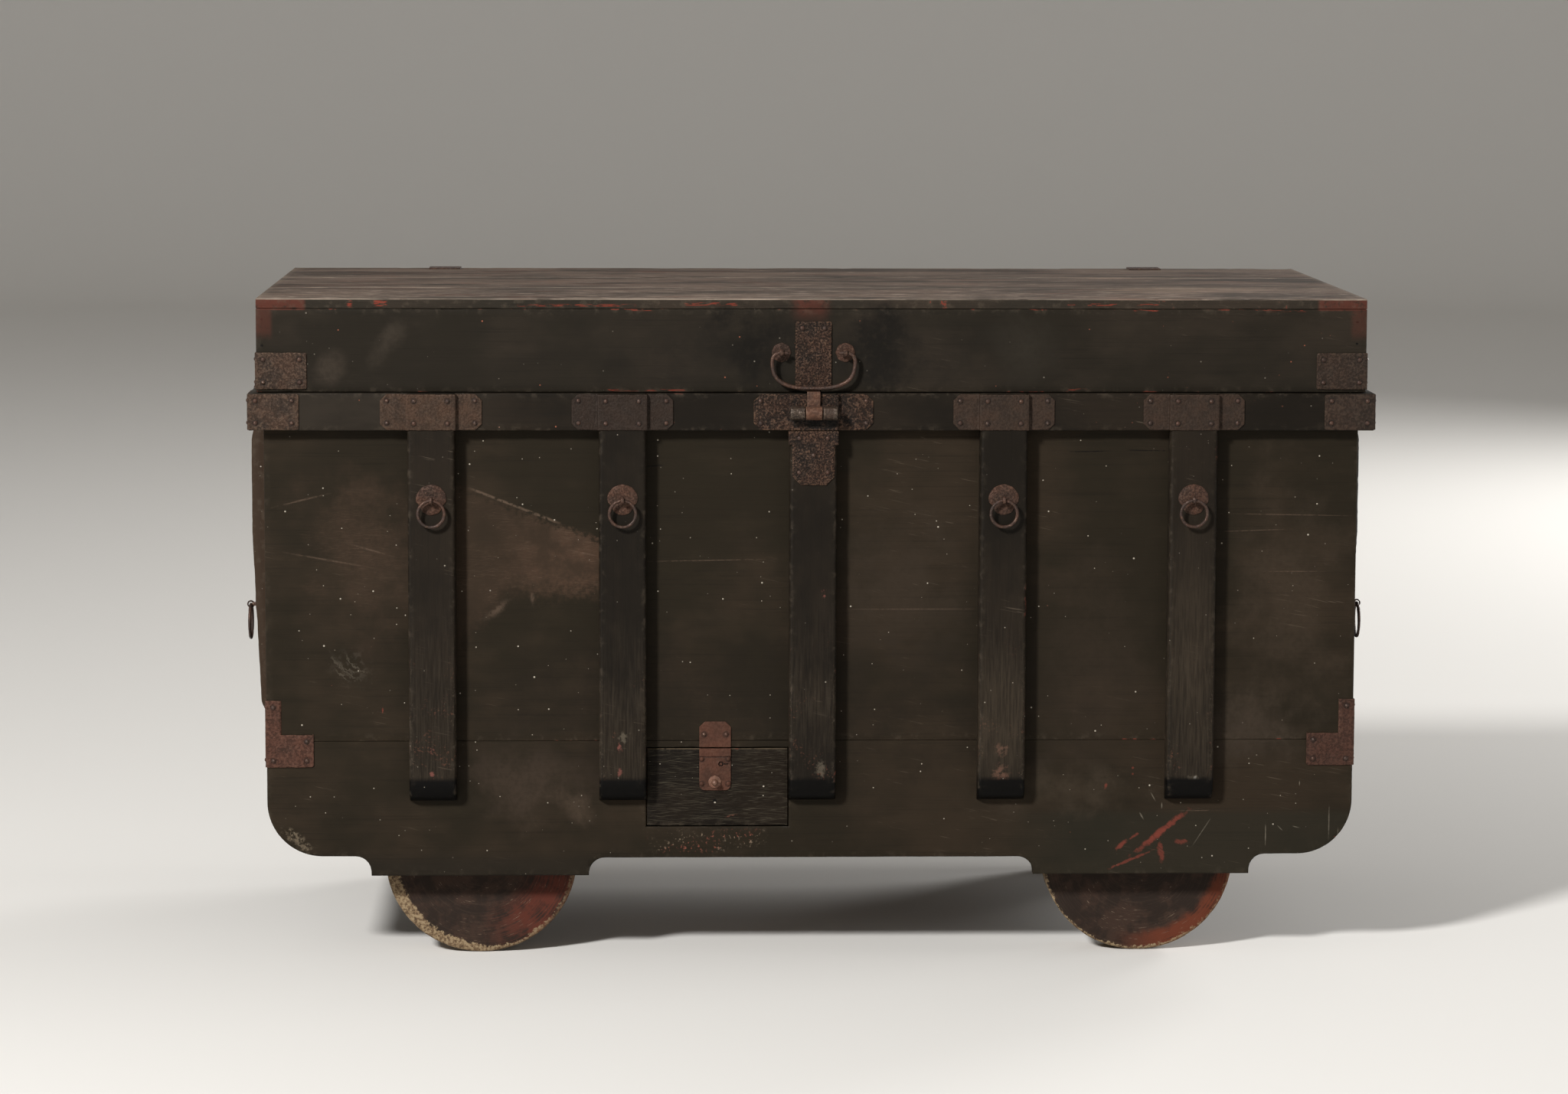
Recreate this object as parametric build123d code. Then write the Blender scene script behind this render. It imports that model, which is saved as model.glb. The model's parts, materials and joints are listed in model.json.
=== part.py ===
from build123d import *
import os
from math import atan2, cos, degrees, pi, sin

# A wheeled trunk: a lidded chest with a small drawer, standing on four wooden wheels.
# Millimetres. +X runs to the right along the front, -Y is the front, +Z is up.
# The origin is on the floor, under the middle of the whole trunk.

# Chest
chest_length = 1580.0
chest_depth = 760.0
wall = 20.0
seat_z = 828.0
board_joint_z = 320.0
floor_thickness = 15.0
floor_underside_z = 320.0

# Lower outline of the front and back
belly_z = 148.0
skirt_end_z = 151.0
block_bottom_z = 122.0
cove_radius = 23.0
corner_radius = 80.0
block_half_width = 158.0
sill_margin = 12.0

# Rail round the top of the chest, and the strips inside it
rail_height = 54.0
rail_thickness = 20.0
lap_depth = 10.0
rim_thickness = 12.0
rim_rise = 30.0
rim_drop = 40.0

# Stiles
stile_width = 68.0
stile_thickness = 27.0
stile_pitch = 274.5
stile_bottom_z = 233.5
stile_chamfer = 3.5
side_stile_bottom_z = 328.0
side_stile_swell = 35.0
side_stile_foot = 24.0
side_taper_drop = 174.0
side_swell_drop = 32.0

# Lid
lid_proud = 9.0
lid_board = 14.0
lid_top_thickness = 15.0
lid_height = 135.0
lid_clearance = 0.5
lid_plank_count = 3
batten_width = 34.0
batten_height = 18.0
batten_pitch = 420.0
batten_setback = 1.0

# Iron plates and nails
plate = 2.0
plate_edge_margin = 1.0
corner_plate_reach = 72.0
corner_plate_height = 53.0
corner_plate_rise = 4.0
strap_wing = 39.0
wing_clip = 8.0
nail_ball = 3.6
nail_inset = 10.0
nail_latitude = 25.0

# Corner brackets low on the chest
bracket_bottom_z = 282.0
bracket_height = 98.0
bracket_arm = 20.0
bracket_foot_height = 48.0
bracket_reach = 68.0

# Wheels and axles
wheel_radius = 140.0
wheel_thickness = 60.0
wheel_setback = 45.0
wheel_from_end = 308.0
wheel_round = 4.0
axle_radius = 17.0
running_clearance = 0.05
bearing_half_width = 70.0
bearing_above_axle = 95.0
bearing_below_axle = 15.0
wheel_side_gap = 0.6
collar_radius = 32.0
collar_thickness = 14.0

# Drawer
drawer_stile_gap = 1.0
drawer_bottom_z = 195.0
drawer_height = 114.0
drawer_gap = 1.5
drawer_front_thickness = 18.0
drawer_length = 330.0
drawer_board = 10.0
drawer_base = 7.0
drawer_side_drop = 14.0
drawer_base_rise = 6.0
drawer_corner = 5.0
slide_gap = 0.3
drawer_side_play = 0.6
runner_board = 14.0
runner_ledge = 24.0
runner_ledge_height = 14.0
stop_thickness = 16.0
stop_height = 60.0
hole_radius = 2.0
hole_drop = 80.0

# Drawer lock
lock_x = -140.5
lock_plate_width = 46.0
lock_plate_height = 62.0
lock_plate_corner = 9.0
lock_band_height = 12.0
lock_band_raise = 0.8
strike_height = 38.0
strike_clip = 8.0
strike_nail_x = 16.0
case_width = 50.0
case_height = 44.0
case_depth = 11.0
case_wall = 3.0
case_top_drop = 6.0
bolt_width = 24.0
bolt_height = 26.0
bolt_thickness = 4.0
bolt_travel = 8.0
bolt_play = 0.3
bolt_top_drop = 1.0
keyhole_x = -132.0
keyhole_z = 286.0
keyhole_radius = 2.6
keyhole_slot_length = 9.0
keyhole_slot_height = 1.8
knob_x = -141.0
knob_z = 260.0
rosette_radius = 9.5
rosette_height = 1.6
knob_stem_radius = 2.6
knob_stem_length = 7.0
knob_radius = 5.2

# Latch on the middle stile
latch_wing = 52.0
knuckle_radius = 10.0
bar_bore_radius = 4.5
eye_width = 23.5
knuckle_width = 20.5
knuckle_side_gap = 1.5
eye_back_gap = 1.2
knuckle_drop = 27.0
leg_plate_height = 73.0
leg_flange_height = 20.0
leg_flange_depth = 14.0
leg_corner = 12.0
strap_width = 52.0
strap_thickness = 2.5
strap_foot_rise = 4.5
strap_height = 98.0
tongue_width = 19.0
tongue_thickness = 3.5
crank_thickness = 2.2
crank_gap = 0.4

# Bail handle on the lid
bail_wire_radius = 2.8
bail_below_lid_top = 77.5
bail_stand_off = 12.0
bail_post_x = 46.0
bail_post_width = 7.0
bail_tip_spare = 3.0
bail_half_width = 60.0
bail_drop = 51.0
bail_waist_drop = 36.0
bail_waist_half_width = 56.0
bail_foot_half_width = 26.0
bail_shoulder_radius = 9.0
bail_waist_radius = 30.0
bail_foot_radius = 60.0
bail_eye_gap = 0.3
bail_eye_wall = 3.0
bail_rosette_radius = 14.0

# Ring pulls
ring_backplate_radius = 22.5
ring_below_rail = 99.0
side_ring_height_share = 0.558
ring_radius = 19.0
side_ring_radius = 25.0
ring_wire_radius = 2.5
ring_stand_off = 8.5
ring_eye_width = 5.0
ring_hole_radius = 3.3
ring_eye_wall = 2.6
ring_rest_gap = 0.3

# Hinges on the back
hinge_from_stile = 9.0
hinge_width = 50.0
hinge_knuckle_radius = 5.5
hinge_middle_width = 18.0
hinge_knuckle_gap = 0.3
hinge_pin_radius = 2.0
hinge_pin_spare = 1.5
hinge_face_gap = 0.4
hinge_slot_rise = 6.5
hinge_top_reach = 42.0
hinge_strap_nail_drops = (20.0, 60.0)
leaf_drop = 50.0

# Length added to cutting tools so that they pass right through
overrun = 5.0

# Ends of lines this near each other count as one point
meeting_tolerance = 0.0004

half_length = chest_length / 2
half_depth = chest_depth / 2
rail_bottom_z = seat_z - rail_height
sill_top_z = skirt_end_z + corner_radius + sill_margin
wheel_x = half_length - wheel_from_end
hinge_x = 2 * stile_pitch + hinge_from_stile
lid_bottom_z = seat_z + lid_clearance
lid_top_z = lid_bottom_z + lid_height
lid_half_length = half_length + lid_proud
lid_half_depth = half_depth + lid_proud
strap_bottom_z = lid_bottom_z + strap_foot_rise
strap_top_z = strap_bottom_z + strap_height
bail_axis_z = lid_top_z - bail_below_lid_top
ring_z = rail_bottom_z - ring_below_rail
side_foot_top_z = side_stile_bottom_z + side_stile_foot
side_taper_start_z = rail_bottom_z - side_taper_drop
side_swell_top_z = rail_bottom_z - side_swell_drop
side_ring_z = side_foot_top_z + side_ring_height_share * (side_taper_start_z - side_foot_top_z)
drawer_x = -stile_pitch / 2
drawer_width = stile_pitch - stile_width - 2 * drawer_stile_gap
opening_top_z = drawer_bottom_z + drawer_height + drawer_gap
side_stile_along = stile_pitch / 2
stile_places = [k * stile_pitch for k in (-2, -1, 0, 1, 2)]
side_places = [-side_stile_along, side_stile_along]

# How far the front and back stand out, which puts the origin under the middle
front_reach = stile_thickness + plate + eye_back_gap + 2 * knuckle_radius
nail_height = nail_ball * (1 - sin(nail_latitude * pi / 180))
back_reach = stile_thickness + plate + nail_height
centre_y = (front_reach - back_reach) / 2

# Distance from the middle and turn about Z of each wall; a wall faces -Y before its turn
wall_distance = {"front": half_depth, "right": half_length, "back": half_depth, "left": half_length}
wall_angle = {"front": 0, "right": 90, "back": 180, "left": -90}


def block(x0, x1, y0, y1, z0, z1):
    """Box between two opposite corners."""
    middle = Pos((x0 + x1) / 2, (y0 + y1) / 2, (z0 + z1) / 2)
    return middle * Box(x1 - x0, y1 - y0, z1 - z0)


def on_wall(shape, wall_name, along=0, height=0, proud=0):
    """Moves a shape made at the origin, facing -Y, to a place on a wall of the chest."""
    seat = Pos(along, -wall_distance[wall_name] - proud, height)
    return Rot(0, 0, wall_angle[wall_name]) * seat * shape


def plate_from_outline(outline, thickness):
    """Extrudes an outline drawn in X and Z outwards, from y = 0 to y = -thickness."""
    return extrude(Plane.XZ * make_face(outline), amount=thickness)


def bar_from_profile(profile, width):
    """Extrudes a profile drawn in Y and Z along X, centred on x = 0."""
    return extrude(Plane.YZ * make_face(profile), amount=width / 2, both=True)


def rod_along_x(radius, length):
    """Round rod along X, centred on the origin."""
    return Rot(0, 90, 0) * Cylinder(radius, length)


def rod_along_y(radius, length):
    """Round rod along Y, centred on the origin."""
    return Rot(90, 0, 0) * Cylinder(radius, length)


def arc_about(centre, radius, start, end):
    """Circular arc in a drawing plane, from one angle in degrees to another."""
    points = []
    for turn in (start, (start + end) / 2, end):
        angle = turn * pi / 180
        points.append((centre[0] + radius * cos(angle), centre[1] + radius * sin(angle)))
    return ThreePointArc(*points)


def path_of(pieces):
    """Joins lines and arcs into one outline, adding a line wherever two don't meet."""
    joined = []
    for index, piece in enumerate(pieces):
        following = pieces[(index + 1) % len(pieces)]
        joined.append(piece)
        start, end = piece @ 1, following @ 0
        if (end - start).length > meeting_tolerance:
            joined.append(Line(start, end))
    return joined


def lower_outline():
    """Right half of the shaped lower board, from the middle of the belly to the joint."""
    block_in = wheel_x - block_half_width
    block_out = wheel_x + block_half_width
    return path_of(
        [
            Line((0, board_joint_z), (0, belly_z)),
            arc_about((block_in - cove_radius, belly_z - cove_radius), cove_radius, 90, 0),
            Line((block_in, block_bottom_z), (block_out, block_bottom_z)),
            arc_about((block_out + cove_radius, skirt_end_z - cove_radius), cove_radius, 180, 90),
            arc_about((half_length - corner_radius, skirt_end_z + corner_radius), corner_radius, -90, 0),
            Line((half_length, board_joint_z), (0, board_joint_z)),
        ]
    )


def lower_board():
    """Shaped lower board, its outer face at y = 0."""
    half = make_face(lower_outline())
    face = half + mirror(half, about=Plane.YZ)
    return Pos(0, wall, 0) * extrude(Plane.XZ * face, amount=wall)


def drawer_opening():
    """Tool that cuts the opening for the drawer front, on the front wall."""
    half = drawer_width / 2 + drawer_gap
    low = drawer_bottom_z - drawer_gap
    return block(drawer_x - half, drawer_x + half, -overrun, wall + overrun, low, opening_top_z)


def bolt_y_range():
    """Front and back of the lock bolt, which rises behind the wall over the drawer."""
    front = drawer_front_thickness + case_wall + bolt_play
    return front, front + bolt_thickness


def front_lower_board():
    return on_wall(lower_board() - drawer_opening(), "front")


def back_lower_board():
    return on_wall(lower_board(), "back")


def upper_board(wall_name):
    shape = block(-half_length, half_length, 0, wall, board_joint_z, seat_z)
    return on_wall(shape, wall_name)


def side_boards():
    inside = half_depth - wall
    shape = block(-inside, inside, 0, wall, sill_top_z, seat_z)
    return [on_wall(shape, "left"), on_wall(shape, "right")]


def end_sills():
    """Solid timbers across the two ends, rounded like the corners of the front."""
    arc = arc_about((corner_radius, skirt_end_z + corner_radius), corner_radius, 180, 270)
    profile = path_of([arc, Line((corner_radius, sill_top_z), (0, sill_top_z))])
    shape = bar_from_profile(profile, 2 * (half_depth - wall))
    return [on_wall(shape, "left"), on_wall(shape, "right")]


def floor_board():
    x, y = half_length - wall, half_depth - wall
    top = floor_underside_z + floor_thickness
    return block(-x, x, -y, y, floor_underside_z, top)


def rail(half, places):
    """Rail along a wall, halved where each stile crosses it."""
    shape = block(-half, half, -rail_thickness, 0, rail_bottom_z, seat_z)
    for place in places:
        shape -= block(
            place - stile_width / 2,
            place + stile_width / 2,
            -rail_thickness - overrun,
            lap_depth - rail_thickness,
            rail_bottom_z - overrun,
            seat_z + overrun,
        )
    return shape


def long_rail(wall_name):
    return on_wall(rail(half_length + rail_thickness, stile_places), wall_name)


def side_rails():
    shape = rail(half_depth, side_places)
    return [on_wall(shape, "left"), on_wall(shape, "right")]


def stile(profile):
    """Stile with its long outer edges chamfered."""
    shape = bar_from_profile(profile, stile_width)
    outer = [
        edge
        for edge in shape.edges()
        if abs(abs(edge.center().X) - stile_width / 2) < stile_chamfer / 100
        and edge.center().Y < -lap_depth - stile_chamfer / 2
        and edge.center().Z < seat_z - stile_chamfer
    ]
    return chamfer(outer, stile_chamfer)


def lap_points():
    """Upper part of a stile's profile, where it laps the rail."""
    lap_y = lap_depth - rail_thickness
    return [(-stile_thickness, seat_z), (lap_y, seat_z), (lap_y, rail_bottom_z), (0, rail_bottom_z)]


def long_stile():
    """Stile of the front and back, with a quarter-round lower end."""
    centre = (0, stile_bottom_z + stile_thickness)
    arc = arc_about(centre, stile_thickness, -90, -180)
    return stile(path_of([arc, Polyline(*lap_points())]))


def side_stile():
    """Stile of an end wall, which swells below the rail and tapers to a rounded foot."""
    arc = arc_about((0, side_foot_top_z), side_stile_foot, -90, -180)
    swell = [
        (-side_stile_swell, side_taper_start_z),
        (-side_stile_swell, side_swell_top_z),
        (-stile_thickness, rail_bottom_z),
    ]
    return stile(path_of([arc, Polyline(*swell, *lap_points())]))


def long_stiles(wall_name):
    shape = long_stile()
    return [on_wall(shape, wall_name, place) for place in stile_places]


def side_stiles():
    shape = side_stile()
    return [on_wall(shape, name, place) for name in ("left", "right") for place in side_places]


def rim_strips():
    """Strips inside the walls that stand up into the lid and keep dust out."""
    x, y = half_length - wall, half_depth - wall
    low, high = seat_z - rim_drop, seat_z + rim_rise
    long_strip = block(-x, x, wall, wall + rim_thickness, low, high)
    short = y - rim_thickness
    end_strip = block(-short, short, wall, wall + rim_thickness, low, high)
    strips = [on_wall(long_strip, name) for name in ("front", "back")]
    return strips + [on_wall(end_strip, name) for name in ("left", "right")]


def clipped_wing(width, height, clip):
    """Plate from x = 0 to x = width, its two outer corners clipped, from z = 0 up."""
    outline = Polyline(
        (0, 0),
        (width - clip, 0),
        (width, clip),
        (width, height - clip),
        (width - clip, height),
        (0, height),
        close=True,
    )
    return plate_from_outline(outline, plate)


def hat_plate(wing):
    """Plate bent over a stile's lap, with a wing on the rail at each side."""
    height = rail_height - 2 * plate_edge_margin
    lap_proud = stile_thickness - rail_thickness
    half = stile_width / 2
    cover = block(-half - plate, half + plate, -lap_proud - plate, 0, 0, height)
    cover -= block(-half, half, -lap_proud, overrun, -overrun, height + overrun)
    right = Pos(half, 0, 0) * clipped_wing(wing, height, wing_clip)
    left = mirror(right, about=Plane.YZ)
    hollow = block(-half, half, -lap_proud, overrun, -overrun, height + overrun)
    return (cover + right + left) - hollow


def rail_plate_z():
    return rail_bottom_z + plate_edge_margin


def strap_places():
    """Wall and place of each plain strap plate over a stile."""
    front = [("front", place) for place in stile_places if place]
    back = [("back", place) for place in stile_places if abs(place) <= stile_pitch]
    sides = [(name, place) for name in ("left", "right") for place in side_places]
    return front + back + sides


def corner_wrap(reach, height, corner=(1, 1)):
    """Plate bent round the corner where x and y are both zero, inside it being +X and +Y."""
    shape = block(-plate, reach, -plate, reach, 0, height)
    return shape - block(0, reach + overrun, 0, reach + overrun, -overrun, height + overrun)


def at_corners(shape, x, y, z):
    """Four mirrored copies of a shape, one at each corner of a rectangle."""
    front_left = Pos(-x, -y, z) * shape
    front_right = mirror(front_left, about=Plane.YZ)
    back = [mirror(piece, about=Plane.XZ) for piece in (front_left, front_right)]
    return [front_left, front_right] + back


def rail_plates():
    shape = hat_plate(strap_wing)
    plates = [
        on_wall(shape, name, place, rail_plate_z(), rail_thickness) for name, place in strap_places()
    ]
    height = rail_height - 2 * plate_edge_margin
    wrap = corner_wrap(corner_plate_reach, height)
    x, y = half_length + rail_thickness, half_depth + rail_thickness
    return plates + at_corners(wrap, x, y, rail_plate_z())


def corner_brackets():
    """Brackets with a short arm up the corner and a foot along each face."""
    arm = corner_wrap(bracket_arm, bracket_height)
    foot = corner_wrap(bracket_reach, bracket_foot_height)
    return at_corners(arm + foot, half_length, half_depth, bracket_bottom_z)


def nail():
    """Domed nail head, flat side on y = 0."""
    seated = (Align.CENTER, Align.CENTER, Align.MIN)
    return Rot(90, 0, 0) * Sphere(nail_ball, arc_size1=nail_latitude, align=seated)


def corner_nail_spots(reach, height):
    """Places of the four nails on one face of a corner plate, from its corner."""
    near, far = nail_inset, reach - nail_inset
    low, high = nail_inset, height - nail_inset
    return [(near, low), (far, low), (near, high), (far, high)]


def bracket_nail_spots():
    """Places of the four nails on one face of a corner bracket, from its corner."""
    far = bracket_reach - nail_inset
    middle = bracket_arm / 2
    low, high = nail_inset, bracket_foot_height - nail_inset
    return [(middle, low), (far, low), (far, high), (middle, bracket_height - nail_inset)]


def wrap_nails(spots, x, y, z):
    """Nails on both faces of four corner plates that wrap a rectangle's corners."""
    heads = []
    for along, height in spots:
        front = Pos(-x + along, -y - plate, z + height) * nail()
        side = Pos(-x - plate, -y + along, z + height) * Rot(0, 0, -90) * nail()
        for head in (front, side):
            other = mirror(head, about=Plane.YZ)
            heads += [head, other, mirror(head, about=Plane.XZ), mirror(other, about=Plane.XZ)]
    return heads


def strap_nail_spots():
    """Place, height and standing out of each nail on a strap plate."""
    height = rail_height - 2 * plate_edge_margin
    low, high = nail_inset, height - nail_inset
    inner = stile_width / 2 - nail_inset
    outer = stile_width / 2 + strap_wing - nail_inset
    lap_proud = stile_thickness - rail_thickness
    spots = []
    for side in (-1, 1):
        for level in (low, high):
            spots.append((side * inner, level, lap_proud + plate))
            spots.append((side * outer, level, plate))
    return spots


def leg_nail_spots():
    """Places of the five nails on the latch's lower plate, from its top middle."""
    side = stile_width / 2 - nail_inset - stile_chamfer
    top, foot = nail_inset, leg_plate_height - nail_inset - stile_chamfer
    return [(-side, -top), (side, -top), (0, -(top + foot) / 2), (-side, -foot), (side, -foot)]


def trunk_nails():
    heads = []
    for name, place in strap_places():
        for along, height, proud in strap_nail_spots():
            z = rail_plate_z() + height
            heads.append(on_wall(nail(), name, place + along, z, rail_thickness + proud))
    height = rail_height - 2 * plate_edge_margin
    x, y = half_length + rail_thickness, half_depth + rail_thickness
    heads += wrap_nails(corner_nail_spots(corner_plate_reach, height), x, y, rail_plate_z())
    heads += wrap_nails(bracket_nail_spots(), half_length, half_depth, bracket_bottom_z)
    outer = stile_width / 2 + latch_wing - nail_inset
    for along in (-outer, outer):
        for level in (nail_inset, height - nail_inset):
            heads.append(on_wall(nail(), "front", along, rail_plate_z() + level, rail_thickness + plate))
    for along, drop in leg_nail_spots():
        heads.append(on_wall(nail(), "front", along, rail_bottom_z + drop, stile_thickness + plate))
    for along in (-strike_nail_x, strike_nail_x):
        z = opening_top_z + strike_height / 2
        heads.append(on_wall(nail(), "front", lock_x + along, z, plate))
    for side in (-1, 1):
        for along in (-nail_inset, nail_inset):
            z = seat_z - leaf_drop + nail_inset
            place = side * hinge_x + along
            heads.append(on_wall(nail(), "back", place, z, stile_thickness + plate))
    return heads


def latch_axis():
    """Distance from the front wall's face and height of the latch's three knuckles."""
    return stile_thickness + plate + eye_back_gap + knuckle_radius, seat_z - knuckle_drop


def latch_plate():
    """Hat plate on the middle stile with two fixed knuckles for the bar of a padlock."""
    out, z = latch_axis()
    shape = Pos(0, -rail_thickness, rail_plate_z()) * hat_plate(latch_wing)
    knuckles = []
    for side in (-1, 1):
        x = side * (eye_width / 2 + knuckle_side_gap + knuckle_width / 2)
        barrel = Pos(x, -out, z) * rod_along_x(knuckle_radius, knuckle_width)
        web_half = knuckle_radius / 2
        web = block(
            x - knuckle_width / 2,
            x + knuckle_width / 2,
            -out,
            -stile_thickness - plate / 2,
            z - web_half,
            z + web_half,
        )
        knuckles.append(barrel + web)
    for piece in knuckles:
        shape += piece
    span = eye_width + 2 * (knuckle_side_gap + knuckle_width)
    bore = Pos(0, -out, z) * rod_along_x(bar_bore_radius, span + overrun)
    return on_wall(shape - bore, "front")


def latch_leg_plate():
    """Plate on the middle stile under the rail: it wraps the stile's edges at its top."""
    half = stile_width / 2
    top, foot = 0, -leg_plate_height
    face_half = half - stile_chamfer
    outline = Polyline(
        (-face_half, top),
        (-face_half, foot + leg_corner),
        (-face_half + leg_corner, foot),
        (face_half - leg_corner, foot),
        (face_half, foot + leg_corner),
        (face_half, top),
        close=True,
    )
    shape = Pos(0, -stile_thickness, 0) * plate_from_outline(outline, plate)
    front = -stile_thickness - plate
    collar = block(-half - plate, half + plate, front, front + leg_flange_depth, -leg_flange_height, 0)
    inside = block(-half, half, -stile_thickness, 0, -leg_flange_height - overrun, overrun)
    return on_wall(shape + (collar - inside), "front", height=rail_bottom_z)


def lid_strap():
    half = strap_width / 2
    shape = block(-half, half, -strap_thickness, 0, strap_bottom_z, strap_top_z)
    return on_wall(shape, "front", proud=lid_proud)


def lid_latch_eye():
    """Tongue cranked out from the strap's foot to an eye between the two knuckles."""
    out, z = latch_axis()
    face = lid_proud
    crank_low = lid_bottom_z + crank_gap
    crank_top = crank_low + crank_thickness
    back = out - knuckle_radius
    profile = Polyline(
        (-face, strap_bottom_z),
        (-face, crank_low),
        (-back, crank_low),
        (-back, z),
        (-back - tongue_thickness, z),
        (-back - tongue_thickness, crank_top),
        (-face - strap_thickness, crank_top),
        (-face - strap_thickness, strap_bottom_z),
        close=True,
    )
    tongue = bar_from_profile(profile, tongue_width)
    eye = Pos(0, -out, z) * rod_along_x(knuckle_radius, eye_width)
    bore = Pos(0, -out, z) * rod_along_x(bar_bore_radius, eye_width + overrun)
    return on_wall(tongue + eye - bore, "front")


def lid_top_boards():
    """Planks laid side by side along the lid."""
    width = 2 * lid_half_depth / lid_plank_count
    low = lid_top_z - lid_top_thickness
    planks = []
    for index in range(lid_plank_count):
        y = -lid_half_depth + index * width
        planks.append(block(-lid_half_length, lid_half_length, y, y + width, low, lid_top_z))
    return planks


def lid_long_board(wall_name):
    high = lid_top_z - lid_top_thickness
    shape = block(-lid_half_length, lid_half_length, 0, lid_board, lid_bottom_z, high)
    return on_wall(shape, wall_name, proud=lid_proud)


def lid_end_boards():
    inside = lid_half_depth - lid_board
    high = lid_top_z - lid_top_thickness
    shape = block(-inside, inside, 0, lid_board, lid_bottom_z, high)
    return [on_wall(shape, name, proud=lid_proud) for name in ("left", "right")]


def lid_battens():
    """Battens under the lid's planks, from front to back."""
    y = lid_half_depth - lid_board - batten_setback
    high = lid_top_z - lid_top_thickness
    half = batten_width / 2
    return [
        block(k * batten_pitch - half, k * batten_pitch + half, -y, y, high - batten_height, high)
        for k in (-1, 0, 1)
    ]


def lid_corner_plates():
    wrap = corner_wrap(corner_plate_reach, corner_plate_height)
    return at_corners(wrap, lid_half_length, lid_half_depth, lid_bottom_z + corner_plate_rise)


def lid_nails():
    spots = corner_nail_spots(corner_plate_reach, corner_plate_height)
    z = lid_bottom_z + corner_plate_rise
    heads = wrap_nails(spots, lid_half_length, lid_half_depth, z)
    for side in (-1, 1):
        place = side * (strap_width / 2 - nail_inset)
        z = strap_top_z - nail_inset
        heads.append(on_wall(nail(), "front", place, z, lid_proud + strap_thickness))
        for along in (-nail_inset, nail_inset):
            for drop in hinge_strap_nail_drops:
                z = lid_top_z - drop
                heads.append(on_wall(nail(), "back", side * hinge_x + along, z, lid_proud + plate))
    return heads


def bail_posts():
    """Rosette with an eye for one end of the bail, at each side of the strap."""
    hole = bail_wire_radius + bail_eye_gap
    outer = hole + bail_eye_wall
    post = Pos(0, -plate / 2, 0) * rod_along_y(bail_rosette_radius, plate)
    post += block(
        -bail_post_width / 2, bail_post_width / 2, -bail_stand_off, 0, -outer / 2, outer / 2
    )
    eye = Pos(0, -bail_stand_off, 0)
    post += eye * rod_along_x(outer, bail_post_width)
    post -= eye * rod_along_x(hole, bail_post_width + overrun)
    return [
        on_wall(post, "front", side * bail_post_x, bail_axis_z, lid_proud) for side in (-1, 1)
    ]


def bail_handle():
    """Bail bent from round bar: its ends turn inwards through the two posts."""
    tip = bail_post_x - bail_post_width / 2 - bail_tip_spare
    corners = [
        (-tip, 0),
        (-bail_half_width, 0),
        (-bail_waist_half_width, -bail_waist_drop),
        (-bail_foot_half_width, -bail_drop),
        (bail_foot_half_width, -bail_drop),
        (bail_waist_half_width, -bail_waist_drop),
        (bail_half_width, 0),
        (tip, 0),
    ]
    radii = [bail_shoulder_radius, bail_waist_radius, bail_foot_radius]
    path = Plane.XZ * FilletPolyline(*corners, radius=radii + radii[::-1])
    section = Plane(path @ 0, z_dir=path % 0) * Circle(bail_wire_radius)
    shape = sweep(section, path=path)
    return on_wall(shape, "front", height=bail_axis_z, proud=lid_proud + bail_stand_off)


def side_slope():
    """Lean in degrees of the tapered face of an end wall's stile."""
    run = side_taper_start_z - side_foot_top_z
    return degrees(atan2(side_stile_swell - side_stile_foot, run))


def ring_seats():
    """Name, wall, place, height, standing out and lean of each ring pull's seat."""
    seats = []
    for name, index in (("far_left", 0), ("left", 1), ("right", 3), ("far_right", 4)):
        place = stile_places[index]
        seats.append(("ring_front_" + name, "front", place, ring_z, stile_thickness, 0))
    proud = side_stile_foot + side_ring_height_share * (side_stile_swell - side_stile_foot)
    for name in ("left", "right"):
        for end, turn in (("front", 1), ("back", -1)):
            place = turn * side_stile_along * (1 if name == "left" else -1)
            label = "ring_" + name + "_" + end
            seats.append((label, name, place, side_ring_z, proud, side_slope()))
    return seats


def ring_backplate():
    return Pos(0, -plate / 2, 0) * rod_along_y(ring_backplate_radius, plate)


def ring_eye():
    """Post with an eye, standing on the backplate; the eye's hole runs along X."""
    outer = ring_hole_radius + ring_eye_wall
    post = block(
        -ring_eye_width / 2, ring_eye_width / 2, -ring_stand_off - plate, -plate, -outer / 2, outer / 2
    )
    eye = Pos(0, -ring_stand_off - plate, 0)
    post += eye * rod_along_x(outer, ring_eye_width)
    return post - eye * rod_along_x(ring_hole_radius, ring_eye_width + overrun)


def ring_backplates():
    return [
        on_wall(Rot(lean, 0, 0) * ring_backplate(), wall_name, place, height, proud)
        for _, wall_name, place, height, proud, lean in ring_seats()
    ]


def ring_eyes():
    return [
        on_wall(Rot(lean, 0, 0) * ring_eye(), wall_name, place, height, proud)
        for _, wall_name, place, height, proud, lean in ring_seats()
    ]


def ring_eye_centre(lean):
    """Centre of the eye's hole, on which the ring swings, from the seat: outwards, and up."""
    out = ring_stand_off + plate
    angle = lean * pi / 180
    return -out * cos(angle), -out * sin(angle)


def ring_pull(wall_name, place, height, proud, lean):
    """Ring hanging straight down, low in the hole of its eye."""
    out, up = ring_eye_centre(lean)
    slack = ring_hole_radius - ring_wire_radius - ring_rest_gap
    radius = ring_radius if wall_name == "front" else side_ring_radius
    ring = Pos(0, out, up - slack - radius) * Rot(90, 0, 0) * Torus(radius, ring_wire_radius)
    return on_wall(ring, wall_name, place, height, proud)


def hinge_axis():
    """Distance from the back wall's face and height of the hinge pins."""
    out = lid_proud + hinge_face_gap + hinge_knuckle_radius
    return out, seat_z + hinge_face_gap + hinge_knuckle_radius


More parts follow.
